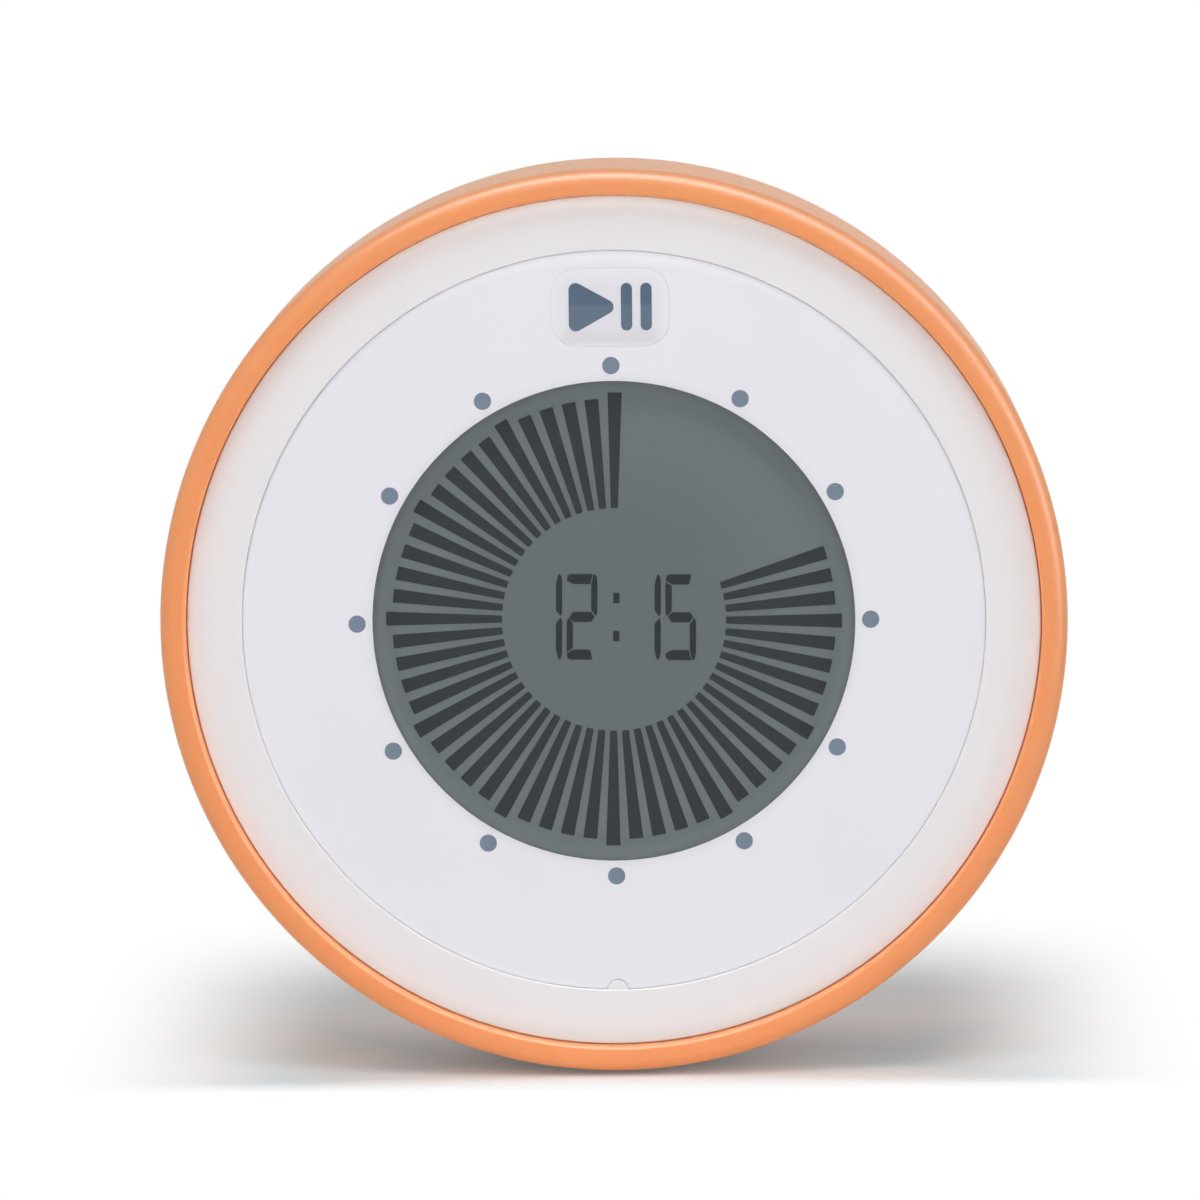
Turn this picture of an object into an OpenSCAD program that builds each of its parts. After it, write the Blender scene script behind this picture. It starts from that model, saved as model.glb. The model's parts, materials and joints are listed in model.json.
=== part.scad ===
// Round desk timer with a twist ring, a round display and a magnetic back.
// It is drawn face up, its back on z = 0 and its face towards +z, and stand() sets it upright:
// then +Z is up, the face looks along -Y, and the origin is under the middle of the box.

/* [Ring and case] */
// Outer diameter of the twist ring and of the case
ring_d = 86; // [84:0.5:92]
// Width of the ring's front lip, seen from the front
lip_w = 2.44; // [2:0.02:3.2]
// Height of the lip above the face
lip_rise = 1.6; // [0.8:0.1:2.5]
// Rounding of the lip's outer edge
lip_round = 1.5; // [0.5:0.1:1.6]
// Rounding of the lip's inner edge
lip_inner_round = 0.4; // [0.2:0.1:0.8]
// Length of the twist ring, front to back
ring_l = 7.5; // [7:0.1:9]
// Length of the ring and the case together
body_l = 22; // [21:0.5:26]
// Wall of the ring and of the case
wall = 1.8; // [1.4:0.1:2.2]
// Rounding of the case's rear edge
rear_round = 1.5; // [0.5:0.1:1.7]
// Seam between the ring and the case
seam = 0.2; // [0.15:0.05:0.6]
// Chamfer on both sides of that seam
seam_edge = 0.12; // [0.05:0.01:0.4]

/* [Face] */
// Width of the white bezel, seen from the front
bezel_w = 5.18; // [4:0.02:5.5]
// Gap between the bezel and the ring's lip
lip_gap = 0.1; // [0.1:0.01:0.4]
// Gap round the clear lens
lens_gap = 0.06; // [0.05:0.01:0.2]
// Thickness of the clear lens, a flexible sheet over the print
lens_t = 0.25; // [0.2:0.05:0.5]
// Rounding of the bezel's outer edge
bezel_round = 0.15; // [0.1:0.05:0.8]
// Chamfer of the bezel's inner edge
edge_break = 0.08; // [0.04:0.02:0.3]
// Distance from the window's edge to the middle of a dot
dot_gap = 1.45; // [1.1:0.05:1.7]
// Diameter of one dot
dot_d = 1.64; // [1:0.05:2]
// Number of dots
dots = 12; // [4:1:24]
// Radius of the key at the foot of the lens
key_r = 0.95; // [0.6:0.05:1.2]

/* [Play pad] */
// Height of the pad's middle above the face's middle
pad_y = 29.9; // [29.5:0.1:30.5]
// Width of the pad
pad_w = 11.1; // [10:0.1:12]
// Height of the pad
pad_h = 7.3; // [6:0.1:7.6]
// Travel of the pad
pad_travel = 0.3; // [0.2:0.05:0.4]
// Height of the pad's raised face above the lens
pad_rise = 0.12; // [0:0.02:0.3]
// Slit round the pad
pad_slit = 0.08; // [0.05:0.01:0.2]

/* [Display] */
// Width of the display glass
glass_w = 48; // [47:0.5:49]
// Height of the front glass
glass_h = 50.4; // [49.6:0.2:50.8]
// Ledge of the front glass beyond the rear glass, at each end
ledge = 2; // [1.8:0.1:2.2]
// Border of the glass that the face hides above and below the window
window_border = 2.3; // [2.1:0.1:3]
// Thickness of each sheet of glass
glass_t = 0.55; // [0.4:0.05:0.7]
// Inner radius of the bars
bar_in_r = 10.65; // [10:0.05:14]
// Distance from the ends of the bars to the window's edge
bar_border = 1.8; // [1.5:0.05:5]
// Extra length of every fifth bar
long_bar = 0.57; // [0:0.01:1]
// Width of a bar in degrees
bar_deg = 3.6; // [1:0.05:5]
// Turn of the display in its frame, clockwise, in degrees
display_turn = 0.8; // [-1:0.1:1]
// First minute that is lit
first_minute = 12; // [1:1:59]
// Height of a digit
digit_h = 8.2; // [5:0.1:10]
// Width of a digit
digit_w = 2.92; // [2:0.05:3.2]
// Distance between two digits of a pair
digit_pitch = 3.35; // [3.3:0.05:4]

/* [Drive] */
// Teeth inside the dial gear
gear_teeth = 66; // [60:6:72]
// Teeth of the encoder pinion
pinion_teeth = 11; // [10:1:12]
// Running clearance of the ring on its journal
journal_gap = 0.06; // [0.03:0.01:0.1]
// Width of the encoder's housing
encoder_w = 6; // [5:0.1:6.2]

/* [Back] */
// Depth of the rear cover behind the case
cover_l = 6; // [5:0.5:8]
// Diameter of the rear cover
cover_d = 74; // [72:0.5:75]
// Thickness of the rear cover's walls
cover_wall = 1.8; // [1.4:0.1:2.2]
// Travel of the battery door
door_travel = 6; // [4:0.5:8]
// Diameter of a magnet
magnet_d = 12; // [8:0.5:13]
// Thickness of a magnet
magnet_t = 2; // [1:0.1:2.5]
// Diameter of a battery cell
cell_d = 10.5; // [10:0.1:10.5]
// Length of a battery cell
cell_l = 44.5; // [43:0.5:44.5]
// Travel of the sound knob to each side
knob_travel = 2; // [1:0.25:2.5]

/* [Foot and screws] */
// Width of the foot pad
foot_w = 12; // [10:0.5:16]
// Length of the foot pad, front to back
foot_l = 11.5; // [9:0.5:12]
// Height of the ring above the ground
foot_rise = 0.4; // [0.3:0.05:1]
// Shank radius of the long case screws
screw_r = 0.9; // [0.7:0.05:1]
// Shank radius of the short frame screws
small_screw_r = 0.7; // [0.6:0.05:0.8]

/* [Hidden] */
$fn = 96;
eps = 0.01;     // overlap that makes a cut clean
fit = 0.05;     // play between two fixed pieces
free = 0.3;     // play beside a piece that moves

// Radii, from the outside in
ring_r = ring_d / 2;
lip_in_r = ring_r - lip_w;
bezel_r = lip_in_r - lip_gap;
recess_r = bezel_r - bezel_w;
lens_r = recess_r - lens_gap;
window_r = glass_h / 2 - window_border;
dot_circle_r = window_r + dot_gap;
case_in_r = ring_r - wall;
journal_r = bezel_r - lip_w;
barrel_wall = 2;
barrel_in_r = journal_r - barrel_wall;
frame_r = journal_r + 0.45;
tooth_tip_r = frame_r + free;
cover_r = cover_d / 2;
spigot_r = cover_r - 2;
spigot_in_r = spigot_r - cover_wall;

// Heights, from the back to the front
case_back_z = cover_l;
total_l = cover_l + body_l;
ring_back_z = total_l - ring_l;
case_front_z = ring_back_z - seam;
face_z = total_l - lip_rise;
lens_front_z = face_z - 0.05;
lens_back_z = lens_front_z - lens_t;
ink_t = 0.04;
print_t = 0.08;
ink_z = lens_back_z - 0.03 - ink_t;
print_z = ink_z - print_t;
floor_t = 1;
floor_back_z = print_z - floor_t;
bezel_back_z = floor_back_z - free;
washer_t = 0.4;
flange_t = 1.2;
flange_front_z = bezel_back_z - washer_t - 2 * fit;
flange_back_z = flange_front_z - flange_t;
barrel_back_z = flange_back_z - 0.1;
frame_t = 1.4;
frame_back_z = barrel_back_z - frame_t;
pcb_t = 1.2;
encoder_h = 4.5;
pcb_front_z = ring_back_z + 0.2 - 0.4 - encoder_h;
pcb_back_z = pcb_front_z - pcb_t;
pcb_r = case_in_r - 5;

// The display, from its back to its front
film_t = 0.15;
rear_glass_z = barrel_back_z + film_t + 0.05;
front_glass_z = rear_glass_z + glass_t;
polarizer_z = front_glass_z + glass_t;
segment_z = polarizer_z + film_t;
segment_t = 0.04;
rear_glass_h = glass_h - 2 * ledge;
zebra_t = ledge - 0.4;
bar_out_r = window_r - bar_border;

// The digits: cells from the left, and what is shown in each
digit_y = 0.25;
digit_x = [-7.85, -7.85 + digit_pitch, 1.53, 1.53 + digit_pitch];
digit_text = ["1", "2", "1", "5"];
stroke_h = 0.97;
stroke_v = 0.6;
digit_cut = 0.09;
colon_x = 0.22;
colon_y = 1.82;

// The gears. The pinion sits inside the dial gear, straight below the middle.
addendum = 0.85;
dedendum = 1.1;
gear_pitch_r = tooth_tip_r + addendum;
gear_rim_r = case_in_r - fit;
pinion_pitch_r = gear_pitch_r * pinion_teeth / gear_teeth;
pinion_y = pinion_pitch_r - gear_pitch_r;
pinion_r = pinion_pitch_r + addendum;
gear_back_z = ring_back_z + 0.1;
pinion_back_z = pcb_front_z + encoder_h + 0.3;
pinion_front_z = barrel_back_z - 0.2;
shaft_r = 1.5;

// Screw posts, beside the display glass
post_x = glass_w / 2 + 6.5;
post_y = 10;
post_r = 2.6;
short_post_x = glass_w / 2 + 4.5;
short_post_y = 17.5;
short_post_r = 1.7;
head_r = 1.9;
head_t = 1.3;
head_z = cover_wall - head_t;
small_head_r = 1.4;
small_head_t = 0.7;

// The back
tub_wall = 1;
cell_gap = 0.5;
cell_z = cover_wall + 1 + cell_d / 2;
cell_y = [-4.5, -4.5 - cell_d - cell_gap];
bay_top_y = cell_y[0] + cell_d / 2 + 0.4;
bay_bottom_y = cell_y[1] - cell_d / 2 - 0.4;
contact_room = 3;
bay_x = cell_l / 2 + contact_room;
bay_roof_z = cell_z + cell_d / 2 + 0.2;
door_x = bay_x - 0.2;
door_top_y = bay_top_y - 0.3;
door_t = 1.5;
door_back_z = 0.15;
magnet_x = 19;
magnet_y = 20;
magnet_z = 0.2;
buzzer_y = 13.5;
buzzer_r = 6;
buzzer_z = 8.6;
knob_y = 28;
knob_w = 3.4;
knob_h = 2.6;
knob_stem = 1.4;
tab_w = 6;
tab_x = 15;
tab_l = door_travel * 2 / 3;
tab_z = door_back_z + door_t;
tab_t = 0.85;
ledge_z = tab_z + tab_t + 0.4;
rib_angles = [30, 90, 150, 210, 330];
rib_w = 2.5;
foot_pocket_r = ring_r - 0.6;
foot_back_z = case_back_z + 0.5;
plunger_w = 8;
plunger_h = 4.2;
zebra_w = 38;
zebra_y = glass_h / 2 - 0.2 - zebra_t / 2;
frame_wall_h = 30;
tact_w = 6;
tact_h = 3.5;
stem_r = 1.7;
stem_front_z = pcb_front_z + tact_h + 1.6;
switch_w = 3.8;
switch_h = 3.5;
crystal_l = 8;
crystal_w = 3.2;
capacitor_r = 2.5;
capacitor_h = 4.4;
chip_l = 2;
chip_w = 1.2;
chip_h = 0.6;

// Place in the room: the middle of the face, and the half depth
axis_z = ring_r + foot_rise;

// Sets what is drawn face up on its front side, standing on its foot
module stand() {
    translate([0, total_l / 2, axis_z]) rotate([90, 0, 0]) children();
}

module disc(r, z0, z1) {
    translate([0, 0, z0]) cylinder(r = r, h = z1 - z0);
}

module tube(r_out, r_in, z0, z1) {
    difference() {
        disc(r_out, z0, z1);
        disc(r_in, z0 - 1, z1 + 1);
    }
}

// A block centred on x and y
module block(w, h, z0, z1) {
    translate([-w / 2, -h / 2, z0]) cube([w, h, z1 - z0]);
}

// A flat rectangle with round corners
module round_rect(w, h, r) {
    square([w - 2 * r, h], center = true);
    square([w, h - 2 * r], center = true);
    for (x = [-1, 1], y = [-1, 1])
        translate([x * (w / 2 - r), y * (h / 2 - r)]) circle(r);
}

module round_block(w, h, r, z0, z1) {
    translate([0, 0, z0]) linear_extrude(z1 - z0) round_rect(w, h, r);
}

module four(x, y) {
    for (sx = [-1, 1], sy = [-1, 1]) translate([sx * x, sy * y, 0]) children();
}

// Points of a quarter round with centre c, from angle a to angle b
function arc(c, r, a, b, n = 12) = [for (i = [0 : n]) c + r * [cos(a + (b - a) * i / n), sin(a + (b - a) * i / n)]];

// A pan-head screw, its head at z0 and its tip at z1
module screw(r, hr, ht, z0, z1) {
    difference() {
        union() {
            disc(hr, z0, z0 + ht);
            disc(r, z0 + ht - eps, z1);
        }
        for (a = [0, 90]) rotate(a) block(hr * 1.3, hr * 0.3, z0 - 1, z0 + ht * 0.5);
    }
}

module pad_outline(grow) {
    round_rect(pad_w + 2 * grow, pad_h + 2 * grow, 2.4 + grow);
}

// The ring, with its lip, its running flange and the room for the gear
module twist_ring() {
    color("sandybrown") stand() rotate_extrude($fn = 180) polygon(concat(
        [[case_in_r, ring_back_z], [ring_r - seam_edge, ring_back_z], [ring_r, ring_back_z + seam_edge]],
        arc([ring_r - lip_round, total_l - lip_round], lip_round, 0, 90),
        arc([lip_in_r + lip_inner_round, total_l - lip_inner_round], lip_inner_round, 90, 180),
        [[lip_in_r, flange_front_z], [journal_r + journal_gap, flange_front_z],
         [journal_r + journal_gap, flange_back_z], [case_in_r, flange_back_z]]
    ));
}

// One tooth's flat outline: root half-width a at x0, tip half-width b at x1
function tooth(x0, x1, a, b, turn) = [
    for (p = [[x0, -a], [x1, -b], [x1, b], [x0, a]])
        [p[0] * cos(turn) - p[1] * sin(turn), p[0] * sin(turn) + p[1] * cos(turn)]
];

tooth_pitch = 2 * PI * gear_pitch_r / gear_teeth;
tooth_half = tooth_pitch * 0.21;
flank = 0.32;
tip_half = tooth_half - addendum * flank;
root_half = tooth_half + dedendum * flank;

// The inside edge of the dial gear: along each tooth's flanks and across each gap's root
function gear_outline(root_r) = [
    for (i = [0 : gear_teeth - 1], p = tooth(root_r, tooth_tip_r, root_half, tip_half, (i + 0.5) * 360 / gear_teeth - 90)) p
];

module dial_gear() {
    color("gainsboro") stand() translate([0, 0, gear_back_z]) linear_extrude(flange_back_z - gear_back_z)
        difference() {
            circle(gear_rim_r, $fn = 180);
            polygon(gear_outline(gear_pitch_r + dedendum));
        }
}

// The pinion and its shaft. A tooth points straight down, into a gap of the dial gear.
module encoder_pinion() {
    color("ivory") stand() translate([0, pinion_y, 0]) {
        translate([0, 0, pinion_back_z]) linear_extrude(pinion_front_z - pinion_back_z) {
            circle(pinion_pitch_r - dedendum);
            for (i = [0 : pinion_teeth - 1])
                polygon(tooth(pinion_pitch_r - dedendum - 0.4, pinion_r, root_half, tip_half,
                              i * 360 / pinion_teeth - 90));
        }
        disc(shaft_r, pcb_front_z + 1, pinion_back_z + eps);
    }
}

module encoder_body() {
    color("dimgray") stand() translate([0, pinion_y, 0]) difference() {
        block(encoder_w, encoder_w, pcb_front_z, pcb_front_z + encoder_h);
        disc(shaft_r + 0.06, pcb_front_z + 0.8, pcb_front_z + encoder_h + 1);
    }
}

module glide_washer() {
    color("whitesmoke") stand()
        tube(bezel_r - 0.2, journal_r + 0.2, flange_front_z + fit, bezel_back_z - fit);
}

// The white bezel: front ring, lens recess, journal for the ring, key and screw posts
module front_bezel() {
    color("white") stand() {
        difference() {
            union() {
                rotate_extrude($fn = 180) polygon(concat(
                    [[journal_r, barrel_back_z], [journal_r, bezel_back_z], [bezel_r, bezel_back_z]],
                    arc([bezel_r - bezel_round, face_z - bezel_round], bezel_round, 0, 90),
                    [[recess_r + edge_break, face_z], [recess_r, face_z - edge_break], [recess_r, print_z],
                     [window_r + 0.5, print_z], [window_r + 0.5, floor_back_z],
                     [barrel_in_r, floor_back_z], [barrel_in_r, barrel_back_z]]
                ));
                intersection() {
                    translate([0, -recess_r, 0]) disc(key_r, print_z - eps, face_z - 0.1);
                    disc(recess_r + eps, print_z - 1, face_z);
                }
                four(post_x, post_y) disc(post_r, pcb_front_z, floor_back_z + eps);
                four(short_post_x, short_post_y) disc(short_post_r, barrel_back_z, floor_back_z + eps);
            }
            translate([0, pad_y, floor_back_z - 1]) linear_extrude(floor_t + 2) pad_outline(free);
            four(post_x, post_y) disc(screw_r + fit, pcb_front_z - 1, floor_back_z);
            four(short_post_x, short_post_y)
                disc(small_screw_r + fit, barrel_back_z - 1, floor_back_z - 0.2);
        }
    }
}

module face_sheet(r, z0, z1) {
    difference() {
        disc(r, z0, z1);
        translate([0, -recess_r, 0]) disc(key_r + 0.08, z0 - 1, z1 + 1);
        translate([0, pad_y, z0 - 1]) linear_extrude(z1 - z0 + 2) pad_outline(pad_slit);
    }
}

module face_lens() {
    color("azure", 0.3) stand() face_sheet(lens_r, lens_back_z, lens_front_z, $fn = 180);
}

module face_print() {
    color("white") stand() difference() {
        face_sheet(lens_r - 0.02, print_z, print_z + print_t, $fn = 180);
        disc(window_r, print_z - 1, print_z + 1);
    }
}

module face_dots() {
    color("lightslategray") stand() for (i = [0 : dots - 1])
        rotate(i * 360 / dots) translate([0, dot_circle_r, 0]) disc(dot_d / 2, ink_z, ink_z + ink_t, $fn = 48);
}

// The raised pad, in one plane with the lens
module play_pad() {
    top_z = lens_front_z + pad_rise;
    color("azure", 0.3) stand() translate([0, pad_y, 0]) {
        translate([0, 0, lens_back_z]) linear_extrude(lens_front_z - lens_back_z) pad_outline(0);
        translate([0, 0, lens_front_z - eps]) linear_extrude(top_z - lens_front_z + eps) pad_outline(-0.5);
    }
}

module pad_print() {
    color("white") stand() translate([0, pad_y, print_z]) linear_extrude(print_t) pad_outline(0);
}

// The play triangle and the two pause bars
module play_icons() {
    tri_w = 4.24;
    tri_h = 4.57;
    tri_round = 0.66;
    bar_w = 1.06;
    bar_h = 4.5;
    mark_gap = 0.69;
    bar_gap = 0.79;
    left = -(tri_w + 2 * bar_w + mark_gap + bar_gap) / 2;
    first_bar = left + tri_w + mark_gap + bar_w / 2;
    color("slategray") stand() translate([0, pad_y, ink_z]) linear_extrude(ink_t) {
        hull() {
            for (y = [-1, 1]) translate([left + tri_round, y * (tri_h / 2 - tri_round)]) circle(tri_round, $fn = 32);
            translate([left + tri_w - tri_round, 0]) circle(tri_round, $fn = 32);
        }
        for (x = [first_bar, first_bar + bar_w + bar_gap]) translate([x, 0]) round_rect(bar_w, bar_h, bar_w / 2 - eps);
    }
}

// The post between the pad and the switch
module play_plunger() {
    head_rim = 0.8;
    color("whitesmoke") stand() translate([0, pad_y, 0]) {
        round_block(plunger_w, plunger_h, 1, stem_front_z, print_z);
        round_block(plunger_w + 2 * head_rim, plunger_h + 2 * head_rim, 1.6, print_z - head_rim, print_z);
    }
}

module switch_stem() {
    color("black") stand() translate([0, pad_y, 0])
        disc(stem_r, stem_front_z - tact_h, stem_front_z);
}

module tact_switch() {
    color("dimgray") stand() translate([0, pad_y, 0]) difference() {
        block(tact_w, tact_w, pcb_front_z, pcb_front_z + tact_h);
        disc(stem_r + 0.06, stem_front_z - tact_h - pad_travel - free, pcb_front_z + tact_h + 1);
    }
}

module lcd_polarizer() {
    color("slategray") stand() block(glass_w - 0.6, rear_glass_h + 0.6, polarizer_z, segment_z);
}

module lcd_front_glass() {
    color("lightcyan", 0.4) stand() block(glass_w, glass_h, front_glass_z, polarizer_z);
}

module lcd_rear_glass() {
    color("lightcyan", 0.4) stand() block(glass_w, rear_glass_h, rear_glass_z, front_glass_z);
}

module lcd_reflector() {
    color("silver") stand() block(glass_w - 0.6, rear_glass_h - 0.6, rear_glass_z - film_t, rear_glass_z);
}

// A digit in a cell whose lower left corner is the origin. Strokes: a top, b and c right, d foot,
// e and f left, g middle. The lower half is the upper half turned over.
module digit(strokes) {
    top = digit_h / 2;
    right = digit_w;
    v = stroke_v;
    end_y = top - stroke_h;
    module end_stroke() {
        polygon([[0, top - v], [0.15 * v, top - 0.3 * v], [0.5 * v, top],
                 [right - 0.6 * v - digit_cut, top], [right - v - digit_cut, end_y], [v, end_y]]);
    }
    module right_stroke() {
        polygon([[right - 0.6 * v, top], [right - 0.2 * v, top - 0.2 * v], [right, top - 1.1 * v], [right, 0.7 * v],
                 [right - 0.25 * v, digit_cut / 2], [right - v, 1.1 * v], [right - v, end_y]]);
    }
    module left_stroke() {
        polygon([[0, top - v - 1.5 * digit_cut], [v, end_y - 1.5 * digit_cut], [v, 1.1 * v],
                 [0.35 * v, digit_cut / 2], [0, 0.7 * v]]);
    }
    module middle_stroke() {
        x = 0.35 * v + digit_cut / 2;
        polygon([[x, 0], [v, stroke_h / 2], [right - v, stroke_h / 2], [right - x, 0],
                 [right - v, -stroke_h / 2], [v, -stroke_h / 2]]);
    }
    translate([0, top]) {
        if (search("a", strokes)) end_stroke();
        if (search("b", strokes)) right_stroke();
        if (search("f", strokes)) left_stroke();
        if (search("g", strokes)) middle_stroke();
        mirror([0, 1]) {
            if (search("d", strokes)) end_stroke();
            if (search("c", strokes)) right_stroke();
            if (search("e", strokes)) left_stroke();
        }
    }
}

function strokes_of(mark) =
    mark == "1" ? "bc" :
    mark == "2" ? "abged" : "afgcd";

// The lit bars, the four digits and the colon
module lcd_segments() {
    color("darkslategray") stand() rotate(-display_turn) translate([0, 0, segment_z]) linear_extrude(segment_t) {
        for (minute = [first_minute : 60]) {
            out_r = bar_out_r + (minute % 5 == 0 ? long_bar : 0);
            rotate(-minute * 6) polygon([for (p = [[bar_in_r, -1], [bar_in_r, 1], [out_r, 1], [out_r, -1]])
                p[0] * [sin(p[1] * bar_deg / 2), cos(bar_deg / 2)]]);
        }
        for (i = [0 : 3]) translate([digit_x[i], digit_y - digit_h / 2]) digit(strokes_of(digit_text[i]));
        for (y = [-1, 1]) translate([colon_x, digit_y + y * colon_y]) square([0.6, 1], center = true);
    }
}

module lcd_gasket() {
    color("dimgray") stand() tube(window_r + 2.2, window_r + 0.5, segment_z, floor_back_z);
}

module zebra_strips() {
    color("pink") stand() for (side = [-1, 1])
        translate([0, side * zebra_y, 0]) block(zebra_w, zebra_t, pcb_front_z, front_glass_z);
}

// The plate behind the display. It also stops the ring's flange from behind.
module mid_frame() {
    color("lightgray") stand() difference() {
        union() {
            disc(frame_r, frame_back_z, barrel_back_z);
            difference() {
                block(glass_w + 3, frame_wall_h, barrel_back_z - eps, front_glass_z);
                block(glass_w + 2 * fit, glass_h, barrel_back_z - 1, front_glass_z + 1);
            }
        }
        four(post_x, post_y) disc(post_r + 0.15, frame_back_z - 1, front_glass_z + 1);
        four(short_post_x, short_post_y) disc(small_screw_r + 0.15, frame_back_z - 1, front_glass_z + 1);
        translate([0, pad_y, 0])
            round_block(plunger_w + 2 * free, plunger_h + 2 * free, 1, frame_back_z - 1, barrel_back_z + 1);
        translate([0, pinion_y, 0]) disc(pinion_r + free, frame_back_z - 1, barrel_back_z + 1);
        for (side = [-1, 1]) translate([0, side * zebra_y, 0])
            block(zebra_w + 2 * fit, zebra_t + 2 * fit, frame_back_z - 1, barrel_back_z + 1);
    }
}

module frame_screws() {
    color("silver") stand() four(short_post_x, short_post_y)
        screw(small_screw_r, small_head_r, small_head_t, frame_back_z - small_head_t, floor_back_z - 0.4, $fn = 48);
}

module main_pcb() {
    color("seagreen") stand() difference() {
        disc(pcb_r, pcb_back_z, pcb_front_z);
        four(post_x, post_y) disc(screw_r + 0.2, pcb_back_z - 1, pcb_front_z + 1);
    }
}

// The controller under its drop of resin
module processor() {
    drop_r = 6;
    drop_h = 1.6;
    sphere_r = (drop_r * drop_r + drop_h * drop_h) / (2 * drop_h);
    color("black") stand() intersection() {
        translate([0, 0, pcb_front_z + drop_h - sphere_r]) sphere(sphere_r);
        disc(drop_r, pcb_front_z, pcb_front_z + drop_h);
    }
}

// Crystal, capacitors and resistors on the board's front
module board_parts() {
    module on_board(x, y) { translate([x * pcb_r, y * pcb_r, pcb_front_z]) children(); }
    color("tan") stand() {
        on_board(0.33, -0.22) round_block(crystal_w, crystal_l, crystal_w * 0.45, 0, crystal_w);
        for (x = [-0.39, 0.44]) on_board(x, 0.33) disc(capacitor_r, 0, capacitor_h);
        for (i = [0 : 5]) on_board(-0.33 + 0.094 * i, -0.44) block(chip_l, chip_w, 0, chip_h);
        for (i = [0 : 3]) on_board(-0.5, -0.22 + 0.088 * i) block(chip_l, chip_w, 0, chip_h);
    }
}

module buzzer() {
    color("black") stand() translate([0, buzzer_y, 0]) difference() {
        disc(buzzer_r, buzzer_z, pcb_back_z);
        disc(1, buzzer_z - 1, buzzer_z + 1.5);
    }
}

module sound_switch() {
    color("silver") stand() translate([0, knob_y, 0]) difference() {
        block(2 * knob_travel + knob_stem + switch_w, switch_w, pcb_back_z - switch_h, pcb_back_z);
        block(2 * knob_travel + knob_stem + 2 * free, knob_stem + 2 * free, pcb_back_z - switch_h - 1, pcb_back_z - 1);
    }
}

// The knob, with a slim stem that reaches the slide switch
module sound_knob() {
    color("dimgray") stand() translate([0, knob_y, 0]) {
        difference() {
            block(knob_w, knob_h, 0.3, cover_wall);
            for (i = [-1 : 1]) translate([i * 0.9, 0, 0]) block(0.3, knob_h + 1, 0, 0.6);
        }
        block(4 * knob_travel + knob_w + 1, knob_h + 2, cover_wall + 0.15, cover_wall + 0.9);
        block(knob_w - 1, knob_h - 1, cover_wall - eps, cover_wall + 0.9);
        block(knob_stem, knob_stem, cover_wall + 0.8, pcb_back_z - 1.5);
    }
}

// The fixed orange wall behind the ring, with the ribs that carry the mid frame
module rear_case() {
    color("sandybrown") stand() difference() {
        union() {
            rotate_extrude($fn = 180) polygon(concat(
                [[spigot_r + fit, case_back_z]],
                arc([ring_r - rear_round, case_back_z + rear_round], rear_round, -90, 0),
                [[ring_r, case_front_z - seam_edge], [ring_r - seam_edge, case_front_z], [case_in_r, case_front_z],
                 [case_in_r, case_back_z + wall], [spigot_r + fit, case_back_z + wall]]
            ));
            for (a = rib_angles) rotate(a) {
                translate([pcb_r + free, -rib_w / 2, case_back_z + wall - eps])
                    cube([case_in_r - pcb_r - free + 0.3, rib_w, case_front_z - case_back_z - wall - 0.2]);
                translate([pcb_r + free, -rib_w / 2, case_front_z - 1])
                    cube([frame_r - pcb_r - free - 0.2, rib_w, frame_back_z - case_front_z + 1]);
            }
        }
        foot_room();
    }
}

// A block under the case with round upright corners, from its underside at y0 up into the case
module foot_block(gap, y0) {
    top_y = 2 - ring_r;
    translate([0, top_y, foot_back_z + foot_l / 2]) rotate([90, 0, 0])
        linear_extrude(top_y - y0) round_rect(foot_w + 2 * gap, foot_l + 2 * gap, 1.5 + gap);
}

// The pocket for the foot in the underside of the case
module foot_room() {
    difference() {
        foot_block(fit, -ring_r - 1);
        disc(foot_pocket_r, 0, total_l, $fn = 360);
    }
}

// The rubber pad that the timer stands on
module foot_pad() {
    color("darkgray") stand() difference() {
        foot_block(0, -ring_r - foot_rise);
        disc(foot_pocket_r, 0, total_l, $fn = 360);
    }
}

module door_outline(gap) {
    intersection() {
        circle(cover_r - fit + gap, $fn = 180);
        translate([-door_x - gap, -cover_r - 1]) square([2 * (door_x + gap), cover_r + 1 + door_top_y + gap]);
    }
}

// The battery bay's place, grown outwards by a wall or inwards by a ledge
module bay_block(grow_x, grow_y, z0, z1) {
    translate([0, (bay_top_y + bay_bottom_y) / 2, 0])
        block(2 * (bay_x + grow_x), bay_top_y - bay_bottom_y + 2 * grow_y, z0, z1);
}

// The shell of the rear cover, before its seats and holes are cut
module cover_shell() {
    edge_round = 0.8;
    seat_rim = 1.2;
    rotate_extrude($fn = 180) polygon(concat(
        [[0, 0]],
        arc([cover_r - edge_round, edge_round], edge_round, -90, 0, 8),
        [[cover_r, case_back_z - fit], [spigot_r, case_back_z - fit], [spigot_r, case_back_z + wall],
         [spigot_in_r, case_back_z + wall], [spigot_in_r, cover_wall], [0, cover_wall]]
    ));
    bay_block(tub_wall, tub_wall, cover_wall - eps, bay_roof_z + tub_wall);
    translate([0, 0, cover_wall - eps]) linear_extrude(ledge_z - cover_wall + eps) intersection() {
        door_outline(seat_rim);
        circle(spigot_in_r + 0.2, $fn = 180);
    }
    four(post_x, post_y) disc(post_r, cover_wall - eps, pcb_back_z);
    for (x = [-1, 1]) translate([x * magnet_x, magnet_y, 0])
        disc(magnet_d / 2 + 1.2, cover_wall - eps, magnet_z + magnet_t + 0.8);
}

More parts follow.
